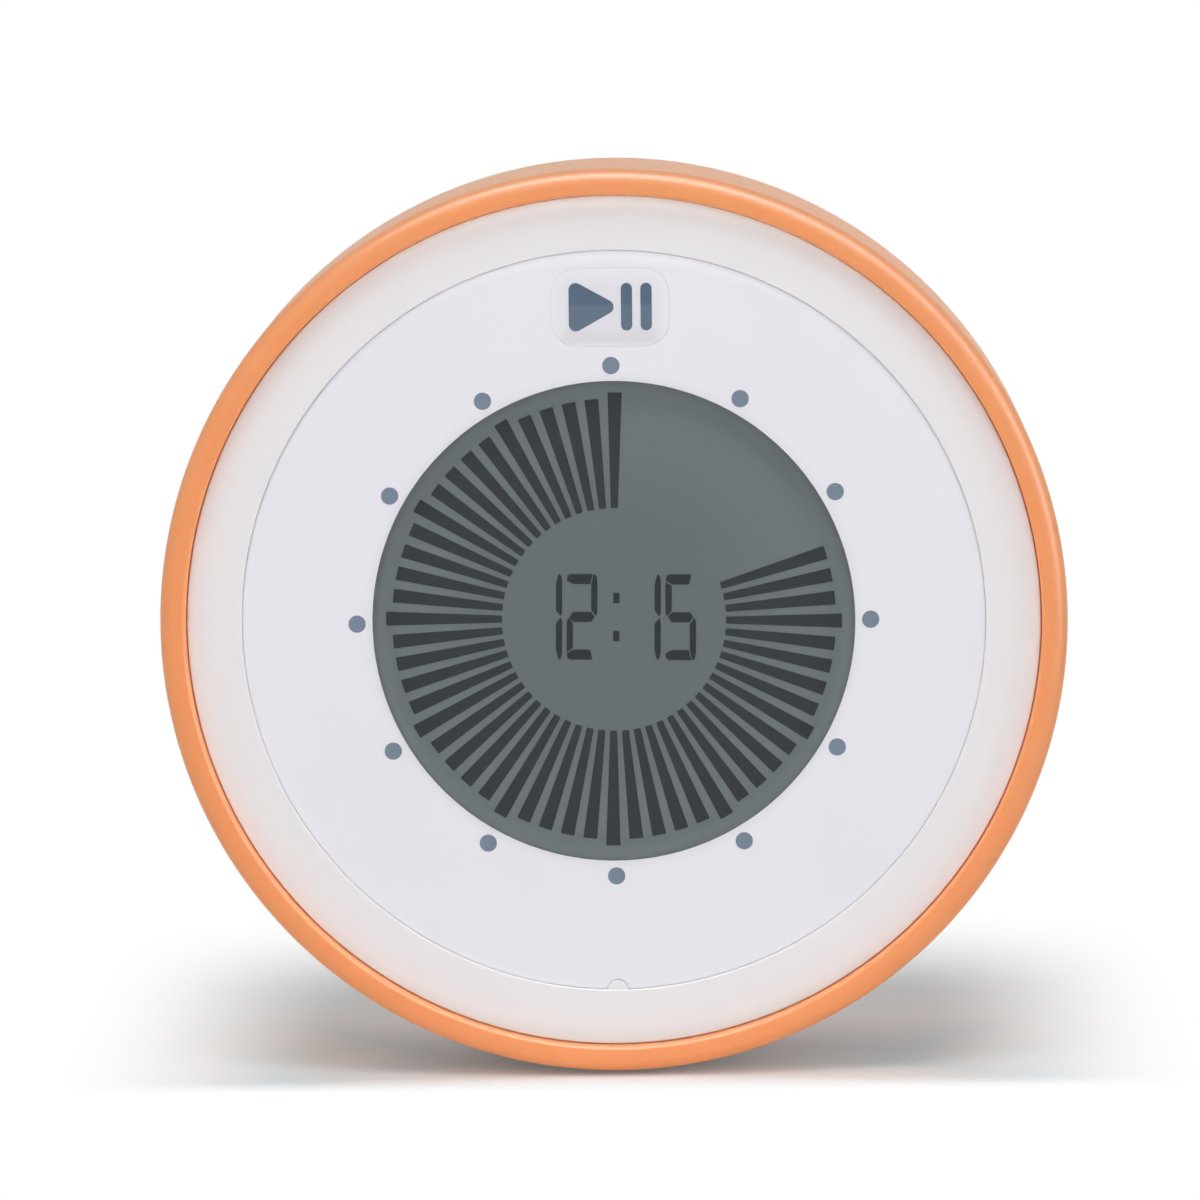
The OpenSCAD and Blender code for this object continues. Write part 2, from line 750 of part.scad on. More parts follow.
// The back: a shallow cup with the battery bay, the magnet seats, the sound holes and the screw posts
module rear_cover() {
    bay_rim = 1;
    sound_r = 0.55;
    color("white") stand() difference() {
        cover_shell();
        bay_block(0, 0, ledge_z, bay_roof_z);
        bay_block(-bay_rim, -0.6, -1, bay_roof_z - 1);
        translate([0, 0, -1]) linear_extrude(tab_z + 1 + 0.1) door_outline(0.15);
        for (x = [-tab_x, tab_x]) translate([x, door_top_y, 0])
            block(tab_w + 2 * free, 2 * tab_l + 2 * free, tab_z - 0.2, tab_z + tab_t + 0.2);
        for (x = [-1, 1]) translate([x * magnet_x, magnet_y, 0])
            disc(magnet_d / 2 + fit, -1, magnet_z + magnet_t + fit);
        translate([0, knob_y, 0])
            block(2 * knob_travel + knob_w + 2 * free, knob_h + 2 * free, -1, cover_wall + 1);
        translate([0, buzzer_y, 0]) {
            disc(sound_r, -1, cover_wall + 1, $fn = 24);
            for (a = [0 : 60 : 300]) rotate(a) translate([2.4, 0, 0]) disc(sound_r, -1, cover_wall + 1, $fn = 24);
        }
        four(post_x, post_y) {
            disc(head_r + 0.2, -1, head_z + head_t);
            disc(screw_r + 0.2, -1, pcb_back_z + 1);
        }
    }
}

// The door, with a grip and two tabs that reach under the cover
module battery_door() {
    color("whitesmoke") stand() {
        difference() {
            translate([0, 0, door_back_z]) linear_extrude(door_t) door_outline(0);
            for (i = [0 : 4]) translate([0, -25 - 1.6 * i, 0]) block(14 - 1.6 * i, 0.7, 0, door_back_z + 0.5);
        }
        for (x = [-tab_x, tab_x]) translate([x, door_top_y, 0])
            block(tab_w, 2 * tab_l - 1, tab_z - eps, tab_z + tab_t);
    }
}

// Two cells side by side, head to tail, each with its raised end
module battery_cells() {
    button_r = 2.6;
    button_l = 1;
    color("steelblue") stand() for (i = [0, 1]) translate([0, cell_y[i], cell_z])
        rotate([0, i == 0 ? 90 : -90, 0]) {
            disc(cell_d / 2, -cell_l / 2, cell_l / 2 - button_l);
            disc(button_r, cell_l / 2 - button_l - eps, cell_l / 2);
        }
}

// A coil spring as a swept round wire along a widening helix
function helix(turns, r0, r1, len, n) = [for (i = [0 : n]) let (t = i / n)
    [(r0 + (r1 - r0) * t) * cos(360 * turns * t), (r0 + (r1 - r0) * t) * sin(360 * turns * t), len * t]];

module swept_wire(path, r, sides = 6) {
    n = len(path);
    function way(i) = let (a = path[max(i - 1, 0)], b = path[min(i + 1, n - 1)]) (b - a) / norm(b - a);
    function side(i) = let (s = cross(way(i), [0, 0, 1])) s / norm(s);
    points = [for (i = [0 : n - 1], k = [0 : sides - 1]) let (s = side(i), u = cross(s, way(i)))
        path[i] + r * (s * cos(360 * k / sides) + u * sin(360 * k / sides))];
    walls = [for (i = [0 : n - 2], k = [0 : sides - 1]) let (m = (k + 1) % sides)
        [i * sides + k, i * sides + m, (i + 1) * sides + m, (i + 1) * sides + k]];
    polyhedron(points, concat([[for (k = [sides - 1 : -1 : 0]) k]], walls,
        [[for (k = [0 : sides - 1]) (n - 1) * sides + k]]), convexity = 6);
}

module battery_springs() {
    wire_r = 0.25;
    color("silver") stand() for (i = [0, 1])
        translate([(i == 0 ? -1 : 1) * (bay_x - 0.5), cell_y[i], cell_z]) rotate([0, i == 0 ? 90 : -90, 0])
            translate([0, 0, wire_r]) swept_wire(
                helix(3, cell_d * 0.32, cell_d * 0.21, contact_room - 0.5 - 2 * wire_r - 0.1, 48), wire_r);
}

// The spring plates at one end and the contact plates at the other
module contact_plates() {
    plate_t = 0.4;
    color("silver") stand() for (x = [-1, 1], i = [0, 1])
        translate([x * (bay_x - plate_t / 2 - 0.05), cell_y[i], cell_z]) {
            cube([plate_t, cell_d * 0.8, cell_d * 0.8], center = true);
            if ((x < 0) == (i == 1)) rotate([0, -90 * x, 0]) disc(cell_d * 0.19, 0, contact_room - plate_t / 2 - 0.15);
        }
}

module magnets() {
    color("silver") stand() for (x = [-1, 1]) translate([x * magnet_x, magnet_y, 0])
        disc(magnet_d / 2, magnet_z, magnet_z + magnet_t);
}

module case_screws() {
    color("silver") stand() four(post_x, post_y)
        screw(screw_r, head_r, head_t, head_z, floor_back_z - 0.5, $fn = 48);
}

twist_ring();
dial_gear();
glide_washer();
front_bezel();
face_lens();
face_print();
face_dots();
play_pad();
pad_print();
play_icons();
play_plunger();
switch_stem();
tact_switch();
lcd_polarizer();
lcd_front_glass();
lcd_rear_glass();
lcd_reflector();
lcd_segments();
lcd_gasket();
zebra_strips();
mid_frame();
frame_screws();
main_pcb();
processor();
board_parts();
encoder_body();
encoder_pinion();
buzzer();
sound_switch();
sound_knob();
rear_case();
foot_pad();
rear_cover();
battery_door();
battery_cells();
battery_springs();
contact_plates();
magnets();
case_screws();
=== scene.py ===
# %% [markdown]
# # A round twist timer
#
# This lesson dresses the CAD model of a desk timer: an orange ring that turns, a white face behind a clear
# sheet, a round liquid-crystal display, a soft play pad and a magnetic back. The CAD model already has
# the right shapes and sizes. What it lacks is the look of the real thing: the sheen of moulded plastic, the
# depth of the display, the softness of the pad, and a room with lamps to see it in. Each step below adds one
# of these.

# %% Load the frame
import json
import math

import bmesh
import bpy
from mathutils import Matrix, Vector

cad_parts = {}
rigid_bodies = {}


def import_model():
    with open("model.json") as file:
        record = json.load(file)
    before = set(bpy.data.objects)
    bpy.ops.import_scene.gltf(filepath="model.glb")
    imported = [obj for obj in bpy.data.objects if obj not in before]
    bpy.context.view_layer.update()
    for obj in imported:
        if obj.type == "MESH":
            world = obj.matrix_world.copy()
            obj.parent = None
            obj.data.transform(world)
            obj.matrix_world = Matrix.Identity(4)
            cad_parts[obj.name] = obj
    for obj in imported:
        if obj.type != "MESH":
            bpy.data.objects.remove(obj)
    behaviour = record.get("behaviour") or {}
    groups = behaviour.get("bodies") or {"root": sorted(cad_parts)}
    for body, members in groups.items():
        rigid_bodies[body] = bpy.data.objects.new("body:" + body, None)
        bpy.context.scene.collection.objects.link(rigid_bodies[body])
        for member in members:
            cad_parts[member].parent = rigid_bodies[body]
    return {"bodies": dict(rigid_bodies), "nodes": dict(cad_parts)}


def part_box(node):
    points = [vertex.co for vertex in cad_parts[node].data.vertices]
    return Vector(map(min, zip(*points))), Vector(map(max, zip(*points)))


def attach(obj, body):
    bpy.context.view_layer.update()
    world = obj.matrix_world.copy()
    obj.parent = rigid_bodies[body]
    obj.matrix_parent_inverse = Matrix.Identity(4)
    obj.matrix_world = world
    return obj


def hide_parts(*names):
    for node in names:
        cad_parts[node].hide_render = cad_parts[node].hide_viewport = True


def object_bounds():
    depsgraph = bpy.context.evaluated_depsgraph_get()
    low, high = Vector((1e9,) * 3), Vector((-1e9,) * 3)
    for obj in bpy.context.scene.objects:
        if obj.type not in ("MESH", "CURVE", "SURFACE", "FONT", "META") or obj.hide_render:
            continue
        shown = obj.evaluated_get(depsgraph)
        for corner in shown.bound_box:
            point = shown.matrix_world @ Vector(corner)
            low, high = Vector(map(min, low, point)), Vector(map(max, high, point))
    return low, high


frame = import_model()
cad_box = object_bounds()
nodes = frame["nodes"]
scene = bpy.context.scene
scene.view_settings.view_transform = "Standard"
MM = 0.001
print("bodies:", ", ".join(frame["bodies"]))
print("size in mm:", [round((high - low) / MM, 2) for low, high in zip(*cad_box)])

# %% [markdown]
# ## Where things are
#
# The timer stands upright and looks along -Y. It is easier to think of its face as a flat sheet of paper:
# x to the right, y up, and depth measured from the back towards the viewer. One small function turns such
# a place on the face into a place in the room, so that every later step can use plain face sizes.

# %% Face coordinates
ring_low, ring_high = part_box("twist_ring")
AXIS_Z = (ring_low[2] + ring_high[2]) / 2
BACK_Y = cad_box[1][1]


def on_face(x, y, depth):
    """A point in the room for x and y in mm from the middle of the face, and depth in mm from the back."""
    return Vector((x * MM, BACK_Y - depth * MM, AXIS_Z + y * MM))


print("middle of the face is", round(AXIS_Z / MM, 2), "mm above the ground")

# %% [markdown]
# ## A helper for finishes
#
# A real surface is never one flat value. Moulded plastic has a fine grain from the tool, a printed layer
# has none, and rubber has a dull bloom. A finish here starts from one Principled shader. Numbers that are
# the same everywhere go on the shader itself, and noise in object space, which stays with the piece when
# it moves, varies the colour, the roughness and the relief a little. Where a tone changes from one place to
# another, mostly as painted light and shade, the colour fades with the distance from the face's axis or
# with the height.


# %% Finish helpers
def linear(red, green, blue):
    """Screen values from 0 to 255 as the linear colour that a shader wants."""
    shares = (red / 255, green / 255, blue / 255)
    return [v / 12.92 if v <= 0.04045 else ((v + 0.055) / 1.055) ** 2.4 for v in shares]


COLOUR_SHARE, FIRST_COLOUR, SECOND_COLOUR, MIXED_COLOUR = 0, 6, 7, 2


class Finish:
    """A material with one Principled shader, and short ways to wire noise and fades into it."""

    def __init__(self, name, colour, roughness, **sockets):
        self.material = bpy.data.materials.new(name)
        self.material.use_nodes = True
        self.tree = self.material.node_tree
        self.shader = self.tree.nodes["Principled BSDF"]
        self.colour = colour
        self.shader.inputs["Base Color"].default_value = (*colour, 1)
        self.shader.inputs["Roughness"].default_value = roughness
        for socket, value in sockets.items():
            self.shader.inputs[socket.replace("_", " ")].default_value = value
        self.place = self.tree.nodes.new("ShaderNodeTexCoord").outputs["Object"]
        self.material.diffuse_color = (*colour, 1)

    def node(self, kind, **values):
        made = self.tree.nodes.new(kind)
        for key, value in values.items():
            if hasattr(made, key):
                setattr(made, key, value)
            else:
                made.inputs[key.replace("_", " ")].default_value = value
        return made

    def link(self, output, target):
        self.tree.links.new(output, target)

    def noise(self, size_mm, detail=2.0, stretch=(1, 1, 1)):
        """Noise whose lumps are about size_mm across, stretched along an axis if asked."""
        mapping = self.node("ShaderNodeMapping")
        mapping.inputs["Scale"].default_value = stretch
        noise = self.node("ShaderNodeTexNoise", Scale=1 / (size_mm * MM), Detail=detail)
        self.link(self.place, mapping.inputs["Vector"])
        self.link(mapping.outputs["Vector"], noise.inputs["Vector"])
        return noise.outputs["Fac"]

    def span(self, value, low, high, start=0.3, end=0.7):
        """Turns a value between start and end into one between low and high."""
        spread = self.node("ShaderNodeMapRange")
        for socket, number in zip(("From Min", "From Max", "To Min", "To Max"), (start, end, low, high)):
            spread.inputs[socket].default_value = number
        self.link(value, spread.inputs["Value"])
        return spread.outputs["Result"]

    def tint(self, value, other, share=1.0):
        """Mixes the base colour with another where value is high."""
        self.link(self.mixed(self.span(value, 0, share), self.colour, other), self.shader.inputs["Base Color"])
        return self

    def radius(self, below_mm=0):
        """Distance, in metres, from the axis of the face or from a line so far below it."""
        offset = self.node("ShaderNodeVectorMath", operation="SUBTRACT")
        offset.inputs[1].default_value = (0, 0, AXIS_Z - below_mm * MM)
        flat = self.node("ShaderNodeVectorMath", operation="MULTIPLY")
        flat.inputs[1].default_value = (1, 0, 1)
        length = self.node("ShaderNodeVectorMath", operation="LENGTH")
        self.link(self.place, offset.inputs[0])
        self.link(offset.outputs["Vector"], flat.inputs[0])
        self.link(flat.outputs["Vector"], length.inputs[0])
        return length.outputs["Value"]

    def ramp(self, value, start_mm, end_mm, height=1.0):
        """Rises softly from 0 to height between two places."""
        step = self.node("ShaderNodeMapRange", interpolation_type="SMOOTHSTEP")
        for socket, number in zip(("From Min", "From Max", "To Max"), (start_mm * MM, end_mm * MM, height)):
            step.inputs[socket].default_value = number
        self.link(value, step.inputs["Value"])
        return step.outputs["Result"]

    def mixed(self, share, first, second):
        """The first colour where share is 0 and the second where it is 1."""
        mix = self.node("ShaderNodeMix", data_type="RGBA")
        self.link(share, mix.inputs[COLOUR_SHARE])
        for index, colour in ((FIRST_COLOUR, first), (SECOND_COLOUR, second)):
            if isinstance(colour, bpy.types.NodeSocket):
                self.link(colour, mix.inputs[index])
            else:
                mix.inputs[index].default_value = (*colour, 1)
        return mix.outputs[MIXED_COLOUR]

    def blend(self, share, other):
        """Lets the colour pass into another by share, on top of what was done to it before."""
        base = self.shader.inputs["Base Color"]
        before = base.links[0].from_socket if base.links else self.colour
        self.link(self.mixed(share, before, other), base)
        return self

    def fade(self, value, start_mm, end_mm, other):
        """Lets the colour pass softly into another between two places."""
        return self.blend(self.ramp(value, start_mm, end_mm), other)

    def join(self, operation, values):
        """One value from several, joined two by two with a math operation."""
        result = values[0]
        for value in values[1:]:
            step = self.node("ShaderNodeMath", operation=operation)
            self.link(result, step.inputs[0])
            self.link(value, step.inputs[1])
            result = step.outputs["Value"]
        return result

    def rest_of(self, value):
        """One less a value."""
        step = self.node("ShaderNodeMath", operation="SUBTRACT")
        step.inputs[0].default_value = 1.0
        self.link(value, step.inputs[1])
        return step.outputs["Value"]

    def place_parts(self):
        """X, Y and Z of a point, in metres."""
        parts = self.node("ShaderNodeSeparateXYZ")
        self.link(self.place, parts.inputs["Vector"])
        return parts.outputs

    def mix_shaders(self, share, first, second):
        """The first shader where share is 0 and the second where it is 1."""
        mix = self.node("ShaderNodeMixShader")
        self.link(share, mix.inputs["Fac"])
        self.link(first, mix.inputs[1])
        self.link(second, mix.inputs[2])
        return mix.outputs["Shader"]

    def vary_roughness(self, value, low, high):
        self.link(self.span(value, low, high), self.shader.inputs["Roughness"])
        return self

    def relief(self, value, depth_mm, strength=1.0):
        bump = self.node("ShaderNodeBump", Strength=strength, Distance=depth_mm * MM)
        self.link(value, bump.inputs["Height"])
        self.link(bump.outputs["Normal"], self.shader.inputs["Normal"])
        return self


def darker(colour, share):
    return [v * share for v in colour]


def give(finish, *names):
    """Puts a finish on the material slots of CAD nodes."""
    for name in names:
        for slot in nodes[name].material_slots:
            slot.material = finish.material
    print(finish.material.name, "on", ", ".join(names))


# %% [markdown]
# ## Orange plastic
#
# The ring and the wall behind it are moulded from one orange plastic with a satin finish. The tool that
# shapes it is lightly blasted, which leaves a grain of about a tenth of a millimetre. That grain is too
# fine to see as bumps, but it is what spreads the highlight along the lip. A coarser, very weak change of
# roughness keeps the highlight from looking computed. The plastic also lets a little light into its skin,
# most of all red light, and that is why a narrow gap between two orange pieces glows instead of going black.
# Light that travels so far under the skin is more than a renderer follows at this size, so the inner wall of
# the lip gets a very faint painted glow, an emission of its own, where it dives into the gap beside the bezel.

# %% Orange finish
ORANGE = linear(239, 160, 102)
SKIN_LIGHT = (1.0, 0.3, 0.12)
PAINTED_GLOW_FROM, PAINTED_GLOW_FULL, PAINTED_GLOW_STRENGTH = 40.7, 40.58, 0.1
orange = Finish("orange_plastic", ORANGE, 0.42, Subsurface_Weight=0.8, Subsurface_Scale=0.002,
                Subsurface_Radius=SKIN_LIGHT)
orange.tint(orange.noise(6, 3), darker(ORANGE, 0.94), 0.4)
orange.vary_roughness(orange.noise(1.2, 4), 0.4, 0.44)
orange.shader.inputs["Emission Color"].default_value = (*SKIN_LIGHT, 1)
# Painted glow: orange plastic inside the lip's inner edge emits a faint red-orange light.
orange.link(orange.ramp(orange.radius(), PAINTED_GLOW_FROM, PAINTED_GLOW_FULL, PAINTED_GLOW_STRENGTH), orange.shader.inputs["Emission Strength"])
orange.relief(orange.noise(0.14, 2), 0.004, 0.25)
give(orange, "twist_ring", "rear_case")

# %% [markdown]
# ## White plastics
#
# The bezel round the lens is white plastic with a finer grain and a little more gloss than the ring. Its rim
# gets painted light at the top and painted shade at the bottom, which evens out the real shade and the orange
# light that the lip casts on it: a distance from a line below or above the face's axis picks out just the top
# or the bottom. The back cover and its door are the same plastic from a coarser, spark-eroded tool, which
# hides finger marks.
# The pieces inside, such as nylon gears, are left in their natural milky white.

# %% White finishes
WHITE = linear(232, 230, 232)
RIM_SHIFT, RIM_PAINTED_LIGHT_FROM, RIM_PAINTED_SHADE_FROM, RIM_PAINT_FULL = 4, 42.9, 42.6, 44.4
bezel_white = Finish("bezel_white", WHITE, 0.4, Specular_IOR_Level=0.35, Subsurface_Weight=0.5,
                     Subsurface_Scale=0.0015, Subsurface_Radius=(1.0, 0.9, 0.8))
bezel_white.vary_roughness(bezel_white.noise(0.8, 3), 0.36, 0.45)
bezel_white.relief(bezel_white.noise(0.1, 1), 0.003, 0.3)
# Painted light on the top of the rim, and painted shade on its bottom.
bezel_white.fade(bezel_white.radius(RIM_SHIFT), RIM_PAINTED_LIGHT_FROM, RIM_PAINT_FULL, linear(250, 255, 255))
bezel_white.fade(bezel_white.radius(-RIM_SHIFT), RIM_PAINTED_SHADE_FROM, RIM_PAINT_FULL, linear(219, 225, 228))
give(bezel_white, "front_bezel")

COVER = linear(228, 225, 224)
cover_white = Finish("cover_white", COVER, 0.55)
cover_white.tint(cover_white.noise(0.35, 2), darker(COVER, 0.95), 0.6)
cover_white.relief(cover_white.noise(0.35, 3), 0.012, 0.5)
give(cover_white, "rear_cover", "battery_door", "mid_frame")

NYLON = linear(226, 222, 208)
nylon = Finish("natural_nylon", NYLON, 0.5, Subsurface_Weight=0.1)
nylon.tint(nylon.noise(2, 3), darker(NYLON, 0.93), 0.5)
nylon.relief(nylon.noise(0.2, 1), 0.004, 0.3)
give(nylon, "dial_gear", "glide_washer", "encoder_pinion", "play_plunger")

# %% [markdown]
# ## The clear sheet
#
# A thin clear sheet covers the printed face. It hardly bends light, so a refracting glass shader would
# only add noise and shut the lamps out. Letting light straight through, with a mirror share from Fresnel
# on top, gives the same look: clear from the front, and a soft gleam at a flat angle. A second switch lets
# the rays that look for lamps pass freely, so that the print behind the sheet is lit as if it lay bare.
# Only the outer side of a sheet has the mirror share: rays go straight through here, and on their way out
# at a flat angle they would meet a full mirror that a bent ray never meets. The pad is a softer sheet with
# a duller surface, so its slopes don't catch the lamps.


# %% Clear finish
def clear_sheet(name, tint, gloss_roughness, index):
    """A sheet that lets light straight through and mirrors a share of it on its outer side."""
    finish = Finish(name, tint, gloss_roughness)
    through = finish.node("ShaderNodeBsdfTransparent")
    through.inputs["Color"].default_value = (*tint, 1)
    shine = finish.node("ShaderNodeBsdfGlossy", Roughness=gloss_roughness)
    shine.inputs["Color"].default_value = (1, 1, 1, 1)
    fresnel = finish.node("ShaderNodeFresnel", IOR=index).outputs["Fac"]
    to_lamp = finish.node("ShaderNodeLightPath").outputs["Is Shadow Ray"]
    inner_side = finish.node("ShaderNodeNewGeometry").outputs["Backfacing"]
    share = finish.join("MULTIPLY", [fresnel, finish.rest_of(finish.join("MAXIMUM", [to_lamp, inner_side]))])
    finish.link(finish.mix_shaders(share, through.outputs["BSDF"], shine.outputs["BSDF"]),
                finish.tree.nodes["Material Output"].inputs["Surface"])
    finish.tree.nodes.remove(finish.shader)
    return finish


lens_clear = clear_sheet("clear_sheet", (1.0, 1.0, 1.0), 0.3, 1.25)
give(lens_clear, "face_lens")
pad_clear = clear_sheet("pad_sheet", (1.0, 1.0, 1.0), 0.45, 1.1)
give(pad_clear, "play_pad")
cell_glass = clear_sheet("display_glass", linear(244, 249, 248), 0.05, 1.3)
give(cell_glass, "lcd_front_glass", "lcd_rear_glass")

# %% [markdown]
# ## Printed layers
#
# Behind the clear sheet lies a white print with a round window, and the blue-grey marks on it. Ink has no
# grain that an eye can see, but it is never quite even, so a broad and very weak change of tone runs
# through it. Its outer rim gets painted light, most at the top, against the shade that the bezel's edge
# casts on it, and it is a touch darker at the window's edge. Under the soft pad it lies deeper, and there
# the ink gets a painted shade, most clearly below the icons, which fades out towards the pad's slopes. The
# icons have two tones, a painted reflection of the room that the top of the pad would mirror a little more
# in its lower half.

# %% Ink finishes
WINDOW_RADIUS, SHEET_RADIUS = 22.9, 35.2
UPPER_RIM_PAINTED_LIGHT = 37.8, 39.1
PRINT = linear(232, 231, 237)
white_ink = Finish("white_ink", PRINT, 0.5, Specular_IOR_Level=0.1)
white_ink.tint(white_ink.noise(12, 2), darker(PRINT, 0.985))
white_ink.fade(white_ink.radius(), WINDOW_RADIUS + 1, WINDOW_RADIUS, darker(PRINT, 0.93))
# Painted light along the sheet's rim, and more of it along the upper rim, against the shade of the bezel's
# edge.
white_ink.fade(white_ink.radius(), SHEET_RADIUS - 0.8, SHEET_RADIUS, linear(234, 233, 238))
white_ink.fade(white_ink.radius(RIM_SHIFT), *UPPER_RIM_PAINTED_LIGHT, linear(244, 243, 247))
give(white_ink, "face_print", "pad_print")

pad_ink = Finish("pad_ink", PRINT, 0.5, Specular_IOR_Level=0.1)
pad_low, pad_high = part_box("play_pad")
SIDE_FADE, TOP_FADE, FOOT_FADE, FOOT_OUT = 1.8, 2.2, 0.5, 0.25
ICONS_MIDDLE, ICONS_FOOT = AXIS_Z / MM + 28.4, AXIS_Z / MM + 26.8
where = pad_ink.place_parts()
# Painted shade under the pad, fading out towards its edges and deeper below the icons.
inside = pad_ink.join("MULTIPLY", [
    pad_ink.ramp(where["X"], pad_low[0] / MM, pad_low[0] / MM + SIDE_FADE),
    pad_ink.ramp(where["X"], pad_high[0] / MM, pad_high[0] / MM - SIDE_FADE),
    pad_ink.ramp(where["Z"], pad_low[2] / MM - FOOT_OUT, pad_low[2] / MM + FOOT_FADE),
    pad_ink.ramp(where["Z"], pad_high[2] / MM, pad_high[2] / MM - TOP_FADE)])
painted_shade_below_icons = pad_ink.ramp(where["Z"], ICONS_MIDDLE, ICONS_FOOT)
pad_ink.blend(inside, pad_ink.mixed(painted_shade_below_icons, darker(PRINT, 0.93), darker(PRINT, 0.86)))

MARK = linear(118, 133, 149)
blue_ink = Finish("blue_ink", MARK, 0.45, Specular_IOR_Level=0.2)
blue_ink.tint(blue_ink.noise(0.5, 3), darker(MARK, 0.93), 0.7)
give(blue_ink, "face_dots")

ICON = linear(96, 113, 130)
icon_ink = Finish("icon_ink", ICON, 0.45, Specular_IOR_Level=0.2)
# Painted reflection: the icons' upper half is a darker tone than their lower half.
REFLECTION_FROM, REFLECTION_FULL = AXIS_Z + 29.7 * MM, AXIS_Z + 30.5 * MM
painted_reflection_share = icon_ink.span(icon_ink.place_parts()["Z"], 0, 1, REFLECTION_FROM, REFLECTION_FULL)
icon_ink.tint(painted_reflection_share, linear(85, 102, 123))
give(icon_ink, "play_icons")

# %% [markdown]
# ## The display
#
# The display is a stack: a foil that reflects, two sheets of glass with the liquid crystal between them,
# and a grey-green film in front. The film's tone rises softly towards the window's edge, with painted light
# in the outer 1.7 mm against the shade of the window's wall, and it shows the fine grain of the foil behind
# it. The digits are a shade darker than the bars.

# %% Display finishes
FILM = linear(102, 111, 114)
film = Finish("display_film", FILM, 0.4, Specular_IOR_Level=0.1)
film.tint(film.noise(0.09, 1), darker(FILM, 0.94), 0.35)
film.fade(film.radius(), 8, 21, linear(110, 118, 121))
# Painted light near the window's edge, against the shade of the window's wall.
film.fade(film.radius(), WINDOW_RADIUS - 1.7, WINDOW_RADIUS, linear(124, 132, 136))
give(film, "lcd_polarizer")

DARK = linear(52, 56, 60)
dark_crystal = Finish("dark_crystal", DARK, 0.45, Specular_IOR_Level=0.08)
dark_crystal.tint(dark_crystal.noise(0.09, 1), darker(DARK, 0.93), 0.35)
give(dark_crystal, "lcd_segments")

digit_crystal = Finish("digit_crystal", darker(DARK, 0.8), 0.45, Specular_IOR_Level=0.08)
digit_crystal.tint(digit_crystal.noise(0.09, 1), darker(DARK, 0.74), 0.35)

foil = Finish("reflector_foil", linear(205, 208, 208), 0.35, Metallic=1.0)
foil.relief(foil.noise(0.08, 1), 0.003, 0.4)
give(foil, "lcd_reflector")

# %% [markdown]
# ## Rubber, foam and dark plastics
#
# Rubber is dull and slightly grainy, foam is full of tiny cells, and the dark moulded pieces, such as
# the slide knob, have a satin skin. The two strips that join the glass to the board are soft silicone with
# a stack of thin carbon layers, which show as close stripes.

# %% Soft and dark finishes
rubber = Finish("grey_rubber", linear(84, 84, 86), 0.8)
rubber.tint(rubber.noise(0.4, 4), linear(70, 70, 72), 0.8)
rubber.relief(rubber.noise(0.15, 2), 0.01, 0.6)
give(rubber, "foot_pad")

foam = Finish("black_foam", linear(42, 42, 43), 0.95)
cells = foam.node("ShaderNodeTexVoronoi", Scale=1 / (0.18 * MM))
foam.link(foam.place, cells.inputs["Vector"])
foam.relief(cells.outputs["Distance"], 0.04, 0.8)
give(foam, "lcd_gasket")

stripes = Finish("striped_silicone", linear(222, 168, 160), 0.6)
bands = stripes.node("ShaderNodeTexWave", Scale=1 / (0.6 * MM) / math.tau, Distortion=0.0)
stripes.link(stripes.place, bands.inputs["Vector"])
stripes.tint(bands.outputs["Fac"], linear(40, 36, 36))
give(stripes, "zebra_strips")

dark_plastic = Finish("dark_plastic", linear(110, 112, 116), 0.45)
dark_plastic.vary_roughness(dark_plastic.noise(0.6, 3), 0.4, 0.52)
dark_plastic.relief(dark_plastic.noise(0.12, 1), 0.004, 0.35)
give(dark_plastic, "sound_knob", "encoder_body", "tact_switch")

resin = Finish("black_resin", linear(26, 26, 27), 0.22)
resin.vary_roughness(resin.noise(1.0, 3), 0.16, 0.3)
give(resin, "processor", "buzzer", "switch_stem")

# %% [markdown]
# ## The board, the cells and the metal pieces
#
# The green board has copper tracks that shine through its lacquer. A pattern of bricks gives them without
# drawing any: its joints are the tracks, and the bricks between them vary a little in tone. Plated steel
# gets fine streaks in its gloss by stretching noise along one axis, and the battery cells get a plain blue
# jacket.

# %% Board and metal finishes
BOARD = linear(34, 104, 62)
board = Finish("board_lacquer", BOARD, 0.32)
tracks = board.node("ShaderNodeTexBrick", Scale=1 / (3 * MM), Mortar_Size=0.04)
for socket, shade in (("Color1", 0.0), ("Color2", 0.25), ("Mortar", 1.0)):
    tracks.inputs[socket].default_value = (shade, shade, shade, 1)
turn = board.node("ShaderNodeMapping")
turn.inputs["Rotation"].default_value = (math.pi / 2, 0, 0)
board.link(board.place, turn.inputs["Vector"])
board.link(turn.outputs["Vector"], tracks.inputs["Vector"])
board.tint(tracks.outputs["Color"], linear(72, 140, 80), 0.9)
give(board, "main_pcb")

parts = Finish("board_parts", linear(176, 150, 118), 0.4)
parts.tint(parts.noise(2.5, 1), linear(96, 92, 90))
give(parts, "board_parts")

steel = Finish("plated_steel", linear(190, 191, 191), 0.3, Metallic=1.0)
steel.vary_roughness(steel.noise(0.6, 3, (1, 1, 9)), 0.3, 0.42)
give(steel, "frame_screws", "case_screws", "battery_springs", "contact_plates", "magnets", "sound_switch")

JACKET = linear(70, 112, 158)
jacket = Finish("cell_jacket", JACKET, 0.28)
jacket.tint(jacket.noise(3, 2), darker(JACKET, 0.9), 0.6)
give(jacket, "battery_cells")

# %% [markdown]
# ## Shapes that follow a rule
#
# Much of this timer is a rule and not a drawing: bars stand every six degrees, dots every thirty, and the
# ring is one outline swept round a circle. Such shapes could be modelled by hand and copied, but then a
# change of size means starting again. Geometry Nodes keep the rule itself. Each tree below asks for its
# sizes by name, builds the shape lying flat with its face up, stands it upright, turns instances into real
# meshes and gives them their material. The result is then kept as a plain mesh, so that nothing is left to
# be worked out later.


